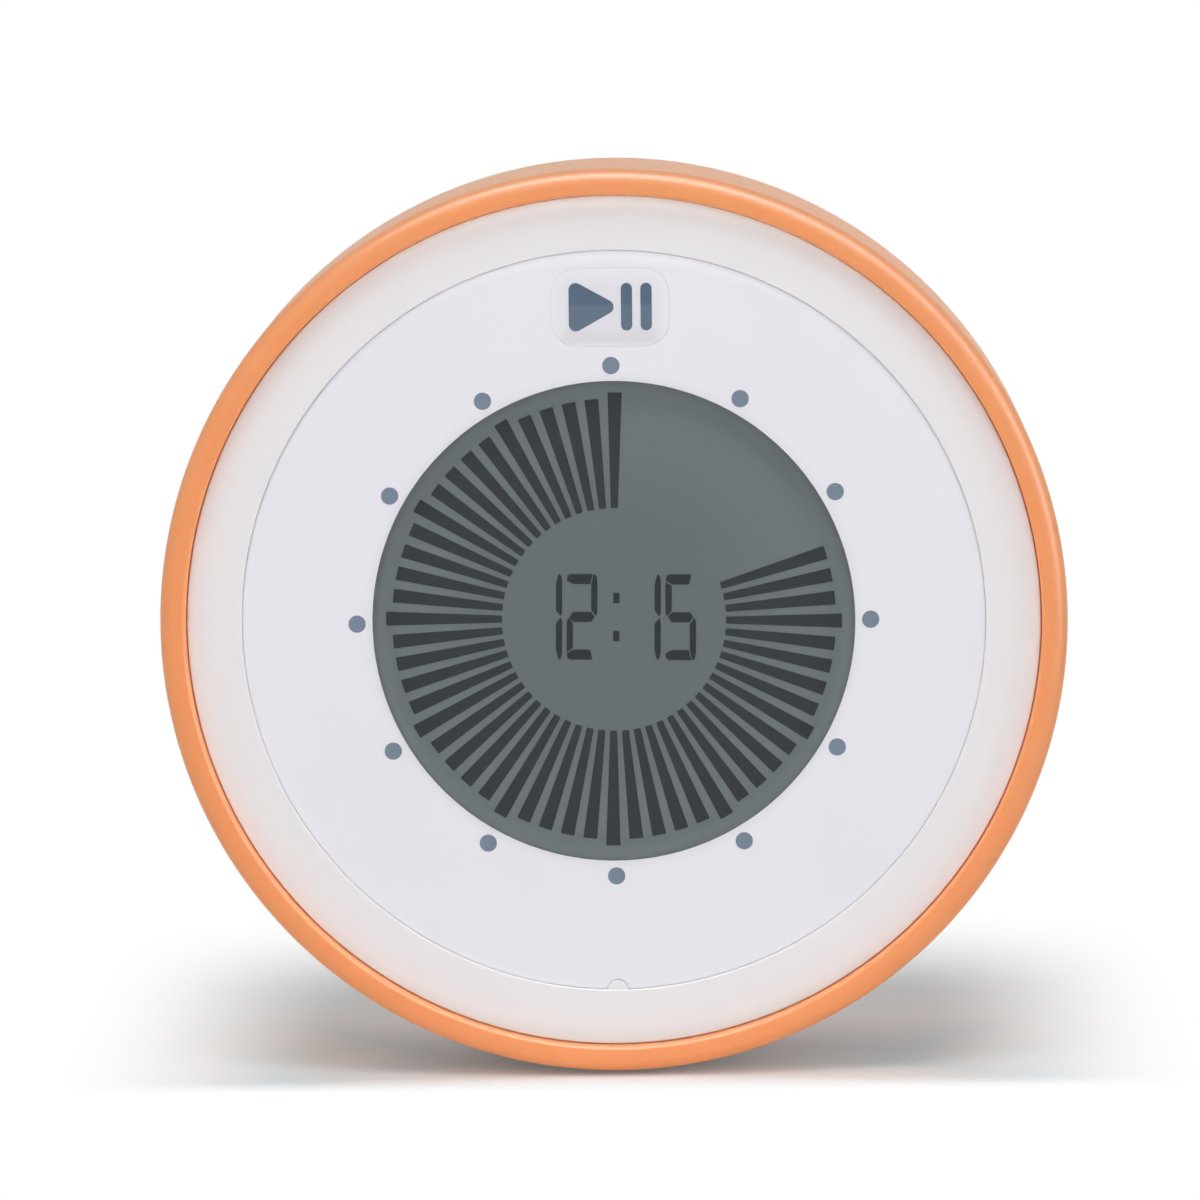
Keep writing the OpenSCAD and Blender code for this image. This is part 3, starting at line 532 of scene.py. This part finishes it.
# %% A helper for Geometry Nodes
class Tree:
    """A Geometry Nodes tree with named inputs. Settings of a node are in small letters, sockets in capitals."""

    def __init__(self, name):
        self.group = bpy.data.node_groups.new(name, "GeometryNodeTree")
        self.group.interface.new_socket(name="Geometry", in_out="OUTPUT", socket_type="NodeSocketGeometry")
        self.given = self.group.nodes.new("NodeGroupInput")
        self.sockets = {}

    def ask(self, name, kind="Float"):
        """A named input. kind is Float, Int, Vector, Object or Material."""
        socket = self.group.interface.new_socket(name=name, in_out="INPUT", socket_type="NodeSocket" + kind)
        self.sockets[name] = socket.identifier
        return self.given.outputs[name]

    def feed(self, socket, value):
        if isinstance(value, bpy.types.NodeSocket):
            self.group.links.new(value, socket)
        else:
            socket.default_value = value

    def node(self, kind, **values):
        made = self.group.nodes.new(kind)
        for key, value in values.items():
            if key[0].islower():
                setattr(made, key, value)
        for key, value in values.items():
            if key[0].isupper():
                self.feed(next(s for s in made.inputs if s.name == key.replace("_", " ") and s.enabled), value)
        return made

    def calc(self, operation, *values):
        made = self.group.nodes.new("ShaderNodeMath")
        made.operation = operation
        for socket, value in zip(made.inputs, values):
            self.feed(socket, value)
        return made.outputs[0]

    def point(self, x, y, z):
        return self.node("ShaderNodeCombineXYZ", X=x, Y=y, Z=z).outputs[0]

    def split(self, vector):
        return self.node("ShaderNodeSeparateXYZ", Vector=vector).outputs

    def end(self, geometry, material):
        upright = self.node("GeometryNodeTransform", Geometry=geometry, Translation=(0, BACK_Y, AXIS_Z),
                            Rotation=(math.pi / 2, 0, 0))
        real = self.node("GeometryNodeRealizeInstances", Geometry=upright.outputs[0])
        painted = self.node("GeometryNodeSetMaterial", Geometry=real.outputs[0], Material=material)
        self.feed(self.group.nodes.new("NodeGroupOutput").inputs[0], painted.outputs[0])


def grow(name, tree, **values):
    """Runs a tree with these inputs, their names written with _ for a space, and keeps a plain mesh."""
    piece = bpy.data.objects.new(name, bpy.data.meshes.new(name))
    scene.collection.objects.link(piece)
    modifier = piece.modifiers.new("grow", "NODES")
    modifier.node_group = tree.group
    for label, value in values.items():
        modifier[tree.sockets[label.replace("_", " ")]] = value
    graph = bpy.context.evaluated_depsgraph_get()
    mesh = bpy.data.meshes.new_from_object(piece.evaluated_get(graph))
    piece.modifiers.remove(modifier)
    piece.data = mesh
    mesh.name = name
    print(name, "has", len(mesh.polygons), "faces")
    return piece


def soften(mesh, limit=40):
    """Smooth shading, with sharp edges kept where two faces meet at more than limit degrees."""
    for face in mesh.faces:
        face.smooth = True
    for edge in mesh.edges:
        edge.smooth = edge.calc_face_angle(0) < math.radians(limit)


def settle(piece, body, slot, *replaced):
    """Hides the nodes that a piece stands for and attaches it to what it moves with. slot is not used."""
    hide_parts(*replaced)
    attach(piece, body)


def depth_of(node):
    """Back and front of a node, in mm from the back of the timer."""
    low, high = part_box(node)
    return (BACK_Y - high[1]) / MM, (BACK_Y - low[1]) / MM


# %% [markdown]
# ## The twist ring
#
# The ring is one turned shape: a profile carried round a circle. The CAD ring is already true, but it comes
# here as flat facets, and a highlight that runs along a lip shows every one of them. So the profile is built
# again from the ring's own sizes, with fine steps in its two rounded edges, and a Geometry Nodes tree sweeps
# it round a circle with as many steps as it is told. The profile is a loose outline that is only a guide,
# and it is removed when the ring has been made.

# %% Sweep the ring
LIP_W, LIP_ROUND, LIP_INNER_ROUND = 2.44, 1.5, 0.4
WALL, SEAM_EDGE = 1.8, 0.12
JOURNAL_CLEAR = 0.06
FLANGE_W, FLANGE_T, FLANGE_BEHIND_LIP = 2.54, 1.2, 3.85


def arc(x, y, radius, start, stop, steps):
    """Points of an arc about (x, y), angles in degrees."""
    angles = [math.radians(start + (stop - start) * k / steps) for k in range(steps + 1)]
    return [(x + radius * math.cos(a), y + radius * math.sin(a)) for a in angles]


def ring_profile():
    """The outline of the ring's section, as pairs of a radius and a depth in mm."""
    outer = (ring_high[0] - ring_low[0]) / 2 / MM
    back, front = depth_of("twist_ring")
    lip_in = outer - LIP_W
    flange_front = front - FLANGE_BEHIND_LIP
    flange_in = lip_in - FLANGE_W + JOURNAL_CLEAR
    return (
        [(outer - WALL, back), (outer - SEAM_EDGE, back), (outer, back + SEAM_EDGE)]
        + arc(outer - LIP_ROUND, front - LIP_ROUND, LIP_ROUND, 0, 90, 24)
        + arc(lip_in + LIP_INNER_ROUND, front - LIP_INNER_ROUND, LIP_INNER_ROUND, 90, 180, 10)
        + [(lip_in, flange_front), (flange_in, flange_front), (flange_in, flange_front - FLANGE_T),
           (outer - WALL, flange_front - FLANGE_T)])


def guide(name, outline, middle):
    """A loose closed outline, measured from the circle that it is swept along."""
    mesh = bpy.data.meshes.new(name)
    mesh.from_pydata([((r - middle) * MM, -z * MM, 0) for r, z in outline],
                     [(i, (i + 1) % len(outline)) for i in range(len(outline))], [])
    piece = bpy.data.objects.new(name, mesh)
    scene.collection.objects.link(piece)
    return piece


def soften_piece(piece, limit):
    """Turns the faces of a finished piece outwards and softens it."""
    mesh = bmesh.new()
    mesh.from_mesh(piece.data)
    bmesh.ops.recalc_face_normals(mesh, faces=mesh.faces)
    soften(mesh, limit)
    mesh.to_mesh(piece.data)
    mesh.free()


sweep = Tree("swept_ring")
sweep_profile, sweep_radius = sweep.ask("Profile", "Object"), sweep.ask("Circle radius")
sweep_steps, sweep_finish = sweep.ask("Steps", "Int"), sweep.ask("Finish", "Material")
shape = sweep.node("GeometryNodeObjectInfo", Object=sweep_profile)
outline = sweep.node("GeometryNodeMeshToCurve", Mesh=shape.outputs["Geometry"])
path = sweep.node("GeometryNodeCurvePrimitiveCircle", Resolution=sweep_steps, Radius=sweep_radius)
solid = sweep.node("GeometryNodeCurveToMesh", Curve=path.outputs[0], Profile_Curve=outline.outputs[0])
sweep.end(solid.outputs[0], sweep_finish)

LIP_MIDDLE, RING_STEPS = 41.8, 288
section = guide("ring_section", ring_profile(), LIP_MIDDLE)
ring = grow("lip_and_ring", sweep, Profile=section, Circle_radius=LIP_MIDDLE * MM, Steps=RING_STEPS,
            Finish=orange.material)
bpy.data.objects.remove(section)
soften_piece(ring, 30)
settle(ring, "ring", "orange_plastic", "twist_ring")
print("ring sweep:", [round(v / MM, 2) for v in ring.dimensions], "mm")

# %% [markdown]
# ## The bars of the display
#
# Each lit minute is a narrow bar on a ray from the middle, a little wider outside than inside, and every
# fifth one is longer. Drawing one bar and turning copies would give bars with parallel sides. Here a plain
# cube is copied once for each minute, and then its own coordinates are read as polar ones: across becomes
# an angle, along becomes a distance from the middle. The taper and the longer bars come out by themselves.

# %% Grow the bars
MINUTE_DEGREES = 6
bars_tree = Tree("radial_bars")
first, last = bars_tree.ask("First minute", "Int"), bars_tree.ask("Last minute", "Int")
inner, outer, longer = (bars_tree.ask(label) for label in ("Inner radius", "Outer radius", "Longer by"))
bar_angle, turned = bars_tree.ask("Bar width in degrees"), bars_tree.ask("Turned by degrees")
back, thick = bars_tree.ask("Back"), bars_tree.ask("Thickness")
bars_finish = bars_tree.ask("Finish", "Material")

bar_count = bars_tree.calc("ADD", bars_tree.calc("SUBTRACT", last, first), 1)
places = bars_tree.node("GeometryNodePoints", Count=bar_count)
minute = bars_tree.calc("ADD", bars_tree.node("GeometryNodeInputIndex").outputs[0], first)
marked = bars_tree.node("GeometryNodeStoreNamedAttribute", data_type="FLOAT", domain="POINT",
                        Geometry=places.outputs[0], Name="minute", Value=minute)
unit = bars_tree.node("GeometryNodeMeshCube", Size=(1, 1, 1))
raised = bars_tree.node("GeometryNodeTransform", Geometry=unit.outputs[0], Translation=(0, 0.5, 0.5))
copies = bars_tree.node("GeometryNodeInstanceOnPoints", Points=marked.outputs[0], Instance=raised.outputs[0])
loose = bars_tree.node("GeometryNodeRealizeInstances", Geometry=copies.outputs[0])
across, along, up = bars_tree.split(bars_tree.node("GeometryNodeInputPosition").outputs[0])
minute = bars_tree.node("GeometryNodeInputNamedAttribute", data_type="FLOAT", Name="minute").outputs[0]
fifth = bars_tree.calc("COMPARE", bars_tree.calc("MODULO", bars_tree.calc("ADD", minute, 0.5), 5), 0.5, 0.1)
end = bars_tree.calc("ADD", outer, bars_tree.calc("MULTIPLY", fifth, longer))
radius = bars_tree.calc("MULTIPLY_ADD", along, bars_tree.calc("SUBTRACT", end, inner), inner)
degrees = bars_tree.calc("ADD", bars_tree.calc("MULTIPLY_ADD", minute, MINUTE_DEGREES, turned),
                         bars_tree.calc("MULTIPLY", across, bar_angle))
angle = bars_tree.calc("RADIANS", degrees)
polar = bars_tree.node("GeometryNodeSetPosition", Geometry=loose.outputs[0], Position=bars_tree.point(
    bars_tree.calc("MULTIPLY", radius, bars_tree.calc("SINE", angle)),
    bars_tree.calc("MULTIPLY", radius, bars_tree.calc("COSINE", angle)),
    bars_tree.calc("MULTIPLY_ADD", up, thick, back)))
bars_tree.end(polar.outputs[0], bars_finish)

DISPLAY_TURN = 0.8
BARS_IN, BARS_OUT, BAR_LONGER, BAR_DEGREES = 10.65, 21.1, 0.57, 3.6
crystal_back, crystal_front = depth_of("lcd_segments")
bars = grow("display_bars", bars_tree, First_minute=12, Last_minute=60, Inner_radius=BARS_IN * MM,
            Outer_radius=BARS_OUT * MM, Longer_by=BAR_LONGER * MM, Bar_width_in_degrees=BAR_DEGREES,
            Turned_by_degrees=DISPLAY_TURN, Back=crystal_back * MM,
            Thickness=(crystal_front - crystal_back) * MM, Finish=dark_crystal.material)
settle(bars, "case", "lcd_dark", "lcd_segments")

# %% [markdown]
# ## The digits
#
# The four digits are made of strokes with slanted ends, as on every such display. A text object would give
# round letters of a font, so the strokes are drawn as small flat outlines: a foot and a head, two sides
# and a middle, with the lower half the upper one turned over.

# %% Draw the digits
DIGIT_W, DIGIT_H = 2.92, 8.2
STROKE_H, STROKE_V, CUT = 0.97, 0.6, 0.09
SHOWN = {-7.85: "1", -4.5: "2", 1.53: "1", 4.88: "5"}
STROKES = {"1": "bc", "2": "abged", "5": "afgcd"}
DIGIT_Y = 0.25
COLON_X, COLON_UP, COLON_W, COLON_H = 0.22, 1.82, 0.6, 1.0
SQUARE = ((-1, -1), (1, -1), (1, 1), (-1, 1))


def upper_strokes():
    """Head, right side, left side and middle of a digit, seen from its left edge and its middle line."""
    top, right, v, cut = DIGIT_H / 2, DIGIT_W, STROKE_V, CUT
    end_y = top - STROKE_H
    head = [(0, top - v), (0.15 * v, top - 0.3 * v), (0.5 * v, top), (right - 0.6 * v - cut, top),
            (right - v - cut, end_y), (v, end_y)]
    right_side = [(right - 0.6 * v, top), (right - 0.2 * v, top - 0.2 * v), (right, top - 1.1 * v),
                  (right, 0.7 * v), (right - 0.25 * v, cut / 2), (right - v, 1.1 * v), (right - v, end_y)]
    left_side = [(0, top - v - 1.5 * cut), (v, end_y - 1.5 * cut), (v, 1.1 * v), (0.35 * v, cut / 2),
                 (0, 0.7 * v)]
    x = 0.35 * v + cut / 2
    middle = [(x, 0), (v, STROKE_H / 2), (right - v, STROKE_H / 2), (right - x, 0), (right - v, -STROKE_H / 2),
              (v, -STROKE_H / 2)]
    return {"a": head, "b": right_side, "f": left_side, "g": middle}


def turned_over(outline):
    return [(x, -y) for x, y in outline]


strokes = upper_strokes()
strokes.update(d=turned_over(strokes["a"]), c=turned_over(strokes["b"]), e=turned_over(strokes["f"]))
outlines = [[(x + left, y + DIGIT_Y) for x, y in strokes[s]]
            for left, mark in SHOWN.items() for s in STROKES[mark]]
for side in (-1, 1):
    x, y = COLON_X, DIGIT_Y + side * COLON_UP
    outlines.append([(x + i * COLON_W / 2, y + j * COLON_H / 2) for i, j in SQUARE])


def plates(name, outlines, back, front, turn, material):
    """Flat plates with these outlines, between two depths, turned clockwise about the middle of the face."""
    mesh = bmesh.new()
    c, s = math.cos(math.radians(turn)), math.sin(math.radians(turn))
    for outline in outlines:
        rows = [[mesh.verts.new(on_face(x * c + y * s, y * c - x * s, depth)) for x, y in outline]
                for depth in (back, front)]
        mesh.faces.new(rows[0])
        mesh.faces.new(rows[1])
        for i in range(len(outline)):
            j = (i + 1) % len(outline)
            mesh.faces.new((rows[0][i], rows[0][j], rows[1][j], rows[1][i]))
    bmesh.ops.recalc_face_normals(mesh, faces=mesh.faces)
    data = bpy.data.meshes.new(name)
    mesh.to_mesh(data)
    mesh.free()
    data.materials.append(material)
    piece = bpy.data.objects.new(name, data)
    scene.collection.objects.link(piece)
    print(name, "has", len(outlines), "plates")
    return piece


digits = plates("display_digits", outlines, crystal_back, crystal_front, DISPLAY_TURN, digit_crystal.material)
settle(digits, "case", "lcd_dark", "lcd_segments")

# %% [markdown]
# ## Dots and icons
#
# Twelve dots mark the hours of the dial. They are a textbook case for instances: one small disc, and a
# circle of points to put it on. The play and pause icons are printed on the pad in a deeper tone of the
# ink. Their corners are round, so each outline is a set of corner points, every one replaced by a short arc.

# %% Grow the dots and draw the icons
dots_tree = Tree("ring_of_dots")
dot_count = dots_tree.ask("Count", "Int")
dots_at, dot_size = dots_tree.ask("Circle radius"), dots_tree.ask("Dot radius")
back, thick = dots_tree.ask("Back"), dots_tree.ask("Thickness")
dots_finish = dots_tree.ask("Finish", "Material")
circle = dots_tree.node("GeometryNodeMeshCircle", Vertices=dot_count, Radius=dots_at)
disc = dots_tree.node("GeometryNodeMeshCylinder", Vertices=48, Radius=dot_size, Depth=thick)
level = dots_tree.point(0, 0, dots_tree.calc("MULTIPLY_ADD", thick, 0.5, back))
lifted = dots_tree.node("GeometryNodeTransform", Geometry=disc.outputs[0], Translation=level)
on_circle = dots_tree.node("GeometryNodeInstanceOnPoints", Points=circle.outputs[0], Instance=lifted.outputs[0])
dots_tree.end(on_circle.outputs[0], dots_finish)

DOTS_AT, DOT_RADIUS = 24.35, 0.82
ink_back, ink_front = depth_of("face_dots")
dots = grow("printed_dots", dots_tree, Count=12, Circle_radius=DOTS_AT * MM, Dot_radius=DOT_RADIUS * MM,
            Back=ink_back * MM, Thickness=(ink_front - ink_back) * MM, Finish=blue_ink.material)
settle(dots, "case", "blue_ink", "face_dots")


def rounded(corners, steps=12):
    """An outline through corners of (x, y, radius, first angle, last angle), each of them an arc."""
    return [point for corner in corners for point in arc(*corner, steps)]


icons_low, icons_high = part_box("play_icons")
ICON_Y = ((icons_low[2] + icons_high[2]) / 2 - AXIS_Z) / MM
LEFT, TRI_W, TRI_H, TRI_ROUND = icons_low[0] / MM, 4.24, 4.57, 0.66
BAR_W, BAR_H, BAR_GAP = 1.06, 4.5, 0.79
tip_x, base_x, base_y = LEFT + TRI_W - TRI_ROUND, LEFT + TRI_ROUND, TRI_H / 2 - TRI_ROUND
tilt = math.degrees(math.atan2(tip_x - base_x, base_y))
icons = [[(x, y + ICON_Y) for x, y in rounded([
    (base_x, -base_y, TRI_ROUND, 180, 360 - tilt), (tip_x, 0, TRI_ROUND, -tilt, tilt),
    (base_x, base_y, TRI_ROUND, tilt, 180)])]]
for x in (icons_high[0] / MM - BAR_W / 2, icons_high[0] / MM - BAR_W * 1.5 - BAR_GAP):
    icons.append([(a, b + ICON_Y) for a, b in rounded([
        (x, BAR_H / 2 - BAR_W / 2, BAR_W / 2, 0, 180), (x, BAR_W / 2 - BAR_H / 2, BAR_W / 2, 180, 360)], 24)])
ink_back, ink_front = depth_of("play_icons")
marks = plates("pad_icons", icons, ink_back, ink_front, 0, icon_ink.material)
settle(marks, "play_button", "blue_ink", "play_icons")

# %% [markdown]
# ## The soft play pad
#
# On the real timer the pad is a raised area of the clear film, pressed warm over a form, so its edge is a
# long soft slope and not a step. It could be a bevelled block, but a bevel has one radius. Here the pad is
# built from rings of its own outline, each a little further in and a little higher, which lets the slope
# follow any curve. It stands for the CAD pad, fills the same outline and moves with the button.
#
# The print under the pad gets the same treatment. A narrow white lip runs out behind the slit, as the
# carrier film of such a pad does, so that no dark line shows round the pad when it is at rest.

# %% Build the pad
PAD_Y = ((pad_low[2] + pad_high[2]) / 2 - AXIS_Z) / MM
PAD_W, PAD_H = (pad_high[0] - pad_low[0]) / MM, (pad_high[2] - pad_low[2]) / MM
PAD_BACK, PAD_TOP = depth_of("play_pad")
PRINT_BACK, PRINT_FRONT = depth_of("pad_print")
PAD_CORNER = 2.4
PAD_EDGE = PAD_TOP - 0.12
PAD_SLOPE = 1.5
CARRIER_LIP, CARRIER_INSET = 0.25, 0.7
CARRIER_BACK, CARRIER_FRONT = PRINT_BACK - 0.08, PRINT_BACK - 0.005


def pad_ring(inset, depth, corner_steps=10):
    """Points of the pad's outline, moved in by inset, at one depth."""
    radius = PAD_CORNER - inset
    points = []
    for corner, (sx, sy) in enumerate(((1, 1), (-1, 1), (-1, -1), (1, -1))):
        for step in range(corner_steps + 1):
            angle = math.radians(90 * (corner + step / corner_steps))
            x = sx * (PAD_W / 2 - PAD_CORNER) + radius * math.cos(angle)
            y = sy * (PAD_H / 2 - PAD_CORNER) + radius * math.sin(angle)
            points.append(on_face(x, PAD_Y + y, depth))
    return points


def loft(name, rings):
    """A closed mesh through rings of equally many points, with a flat cap at each end."""
    mesh = bmesh.new()
    rows = [[mesh.verts.new(p) for p in ring] for ring in rings]
    for low, high in zip(rows, rows[1:]):
        for i in range(len(low)):
            j = (i + 1) % len(low)
            mesh.faces.new((low[i], low[j], high[j], high[i]))
    mesh.faces.new(reversed(rows[0]))
    mesh.faces.new(rows[-1])
    bmesh.ops.recalc_face_normals(mesh, faces=mesh.faces)
    soften(mesh)
    data = bpy.data.meshes.new(name)
    mesh.to_mesh(data)
    mesh.free()
    piece = bpy.data.objects.new(name, data)
    scene.collection.objects.link(piece)
    return piece


SLOPE_STEPS = 12
rings = [pad_ring(0, PAD_BACK), pad_ring(0, PAD_EDGE)]
for k in range(1, SLOPE_STEPS + 1):
    share = k / SLOPE_STEPS
    rings.append(pad_ring(PAD_SLOPE * share, PAD_EDGE + (PAD_TOP - PAD_EDGE) * share * share * (3 - 2 * share)))
pad = loft("soft_pad", rings)
pad.data.materials.append(pad_clear.material)
settle(pad, "play_button", "clear_plastic", "play_pad")
print("pad:", len(pad.data.polygons), "faces, raised", round(PAD_TOP - PAD_EDGE, 2), "mm")

carrier = loft("pad_carrier", [
    pad_ring(CARRIER_INSET, CARRIER_BACK), pad_ring(-CARRIER_LIP, CARRIER_BACK),
    pad_ring(-CARRIER_LIP, CARRIER_FRONT), pad_ring(0, CARRIER_FRONT), pad_ring(0, PRINT_FRONT),
    pad_ring(CARRIER_INSET, PRINT_FRONT)])
carrier.data.materials.append(pad_ink.material)
settle(carrier, "play_button", "white_ink", "pad_print")

# %% [markdown]
# ## The room
#
# A product shot of this kind is taken on a white sweep under large soft lamps. The floor keeps the shadow
# of the timer near it and turns to plain white further out. For the camera it shines a little by itself,
# which lifts the lit floor to white without putting more light on the timer. The orange plastic colours the
# floor beside it with its light. For the camera the floor close to the timer is painted a cool grey, a
# painted shade that takes the orange out of that light and deepens the shadow. The painted grey is deepest
# under the middle, a little weaker beside the timer and plain before and behind it.


# %% Floor and world
FLOOR_HALF = 4.0
FLOOR = (0.9, 0.9, 0.9)
# Painted shade for the camera: cool greys near the timer take out the orange bounce and deepen its shadow.
NEAR_PAINTED_SHADE, PLAIN_PAINTED_SHADE, SIDE_PAINTED_SHADE = (0.47, 0.66, 0.78), (0.80, 0.81, 0.812), (0.64, 0.77, 0.81)
PAINTED_SHADE_SHIFT = 4
OUTWARD, OUTER_END = (22, 38), (48, 36)
BEHIND, AHEAD, SIDE_FRONT = (-2, 22), (-6, -15), (12, -2)
TIMER_LIMITS = (("X", 57, 28), ("X", -55, -26), ("Y", 88, 35), ("Y", -22, -15))


def seen_directly(finish):
    """1 for rays from the camera, from a mirror or through glass, and 0 for light that spreads."""
    path = finish.node("ShaderNodeLightPath").outputs
    return finish.join("MAXIMUM", [path["Is Camera Ray"], path["Is Glossy Ray"], path["Is Transmission Ray"]])


def build_floor():
    mesh = bpy.data.meshes.new("floor")
    mesh.from_pydata([(x * FLOOR_HALF, y * FLOOR_HALF, 0) for x, y in SQUARE], [], [(0, 1, 2, 3)])
    floor = bpy.data.objects.new("floor", mesh)
    scene.collection.objects.link(floor)
    finish = Finish("floor", FLOOR, 0.9)
    where = finish.place_parts()

    shifted = finish.node("ShaderNodeMath", operation="SUBTRACT")
    shifted.inputs[1].default_value = PAINTED_SHADE_SHIFT * MM
    finish.link(where["X"], shifted.inputs[0])
    aside = finish.node("ShaderNodeMath", operation="ABSOLUTE")
    finish.link(shifted.outputs["Value"], aside.inputs[0])
    aside = aside.outputs["Value"]
    outward = finish.ramp(aside, *OUTWARD)
    away = finish.join("MAXIMUM", [outward, finish.ramp(where["Y"], *BEHIND), finish.ramp(where["Y"], *AHEAD)])
    beside = finish.join("MULTIPLY", [
        outward, finish.ramp(aside, *OUTER_END), finish.ramp(where["Y"], *SIDE_FRONT)])
    # Painted floor shade: deepest under the middle, weaker beside the timer, plain before and behind it.
    tone = finish.mixed(beside, finish.mixed(away, NEAR_PAINTED_SHADE, PLAIN_PAINTED_SHADE), SIDE_PAINTED_SHADE)
    shadow = finish.node("ShaderNodeBsdfDiffuse")
    finish.link(tone, shadow.inputs["Color"])
    glow = finish.node("ShaderNodeEmission", Strength=0.1)
    near = finish.node("ShaderNodeAddShader")
    finish.link(shadow.outputs["BSDF"], near.inputs[0])
    finish.link(glow.outputs["Emission"], near.inputs[1])

    white = finish.node("ShaderNodeEmission", Strength=1.0)
    by_timer = finish.join("MULTIPLY", [
        finish.ramp(where[axis], start, end) for axis, start, end in TIMER_LIMITS])
    seen = finish.mix_shaders(finish.rest_of(by_timer), near.outputs["Shader"], white.outputs["Emission"])

    plain = finish.node("ShaderNodeBsdfDiffuse")
    plain.inputs["Color"].default_value = (*FLOOR, 1)
    finish.link(finish.mix_shaders(seen_directly(finish), plain.outputs["BSDF"], seen),
                finish.tree.nodes["Material Output"].inputs["Surface"])
    finish.tree.nodes.remove(finish.shader)
    mesh.materials.append(finish.material)
    return floor


build_floor()


class WorldFinish(Finish):
    """The same short ways for the tree of a world."""

    def __init__(self, world):
        world.use_nodes = True
        self.tree = world.node_tree


def build_world(level):
    world = bpy.data.worlds.new("studio")
    scene.world = world
    finish = WorldFinish(world)
    soft = finish.tree.nodes["Background"]
    soft.inputs["Color"].default_value = (1, 1, 1, 1)
    soft.inputs["Strength"].default_value = level
    white = finish.node("ShaderNodeBackground", Strength=1.0)
    white.inputs["Color"].default_value = (1, 1, 1, 1)
    mix = finish.mix_shaders(seen_directly(finish), soft.outputs["Background"], white.outputs["Background"])
    finish.link(mix, finish.tree.nodes["World Output"].inputs["Surface"])


WORLD_LEVEL = 0.28
build_world(WORLD_LEVEL)
print("world and floor are white to the eye, and light the timer at a plain level")

# %% [markdown]
# ## The lamps
#
# A glossy ring needs two kinds of light. A few large, plain lamps give it its level and its shadow: one high
# in front, a weak one at each side, a broad one from where the camera stands and one for the back. The
# highlight along the lip is the picture of other lamps, long ones that graze the plastic, and they are made
# so that they leave only that picture. In this way the highlight gets its width and strength without
# washing out the white face.


# %% Lamps
def softbox(name, place, width, height, level, shine=True, spread=True):
    """A large lamp that looks at the timer. level is about the share of full white that it gives a surface
    facing it. A lamp without shine leaves no highlight, and one without spread leaves nothing else."""
    lamp = bpy.data.lights.new(name, "AREA")
    lamp.shape, lamp.size, lamp.size_y = "RECTANGLE", width, height
    target = Vector((0, 0, AXIS_Z))
    place = Vector(place)
    lamp.energy = level * math.pi ** 2 * (place - target).length_squared
    holder = bpy.data.objects.new(name, lamp)
    holder.location = place
    holder.visible_glossy = shine
    holder.visible_diffuse = spread
    holder.rotation_euler = (target - place).to_track_quat("-Z", "Y").to_euler()
    scene.collection.objects.link(holder)
    print(name, round(lamp.energy, 2), "W")


softbox("key_softbox", (-0.06, -0.50, 0.93), 0.6, 0.4, 0.28, shine=False)
softbox("lip_gleam", (0.0, -0.36, 1.02), 1.0, 0.44, 2.1, spread=False)
softbox("corner_gleam", (0.62, -0.48, 0.78), 0.5, 0.5, 0.55, spread=False)
softbox("side_gleam", (0.92, -0.50, 0.22), 0.4, 0.6, 0.8, spread=False)
softbox("side_softbox", (1.0, -0.55, 0.14), 0.3, 0.5, 0.15, shine=False)
softbox("left_card", (-0.9, -0.6, 0.08), 0.4, 0.3, 0.12, shine=False)
softbox("front_fill", (0.0, -1.2, 0.42), 1.3, 0.9, 0.36, shine=False)
softbox("back_fill", (0.3, 1.2, 0.22), 1.0, 0.4, 0.40, shine=False)

# %% [markdown]
# ## The camera
#
# A long lens keeps the face round. The camera stands a little above the timer and a hair to its right, and
# it is turned by a fraction of a degree, because a round timer that is set down by hand never stands
# quite straight. The shift places the timer in the frame without tilting the view.

# %% Camera
CAMERA_DISTANCE = 0.725
CAMERA_ELEVATION = 6.5
CAMERA_AZIMUTH = 0.85
CAMERA_ROLL = -0.65
FRAME_WIDTH = 0.1137
FRAME_PIXELS = 1200
SHIFT_PIXELS = (-13.7, 22.2)
SENSOR = 36
LIP_DEPTH = 26.5


def build_camera():
    lip = on_face(0, 0, LIP_DEPTH)
    up, side = math.radians(CAMERA_ELEVATION), math.radians(CAMERA_AZIMUTH)
    away = Vector((math.sin(side) * math.cos(up), -math.cos(side) * math.cos(up), math.sin(up)))
    data = bpy.data.cameras.new("camera")
    data.sensor_width = SENSOR
    data.lens = SENSOR * CAMERA_DISTANCE / FRAME_WIDTH
    data.shift_x, data.shift_y = (pixels / FRAME_PIXELS for pixels in SHIFT_PIXELS)
    data.clip_start, data.clip_end = 0.01, 20
    camera = bpy.data.objects.new("camera", data)
    turn = (-away).to_track_quat("-Z", "Y").to_matrix().to_4x4()
    roll = Matrix.Rotation(math.radians(CAMERA_ROLL), 4, "Z")
    camera.matrix_world = Matrix.Translation(lip + away * CAMERA_DISTANCE) @ (turn @ roll)
    scene.collection.objects.link(camera)
    scene.camera = camera
    return camera


camera = build_camera()
print("lens", round(camera.data.lens, 1), "mm")
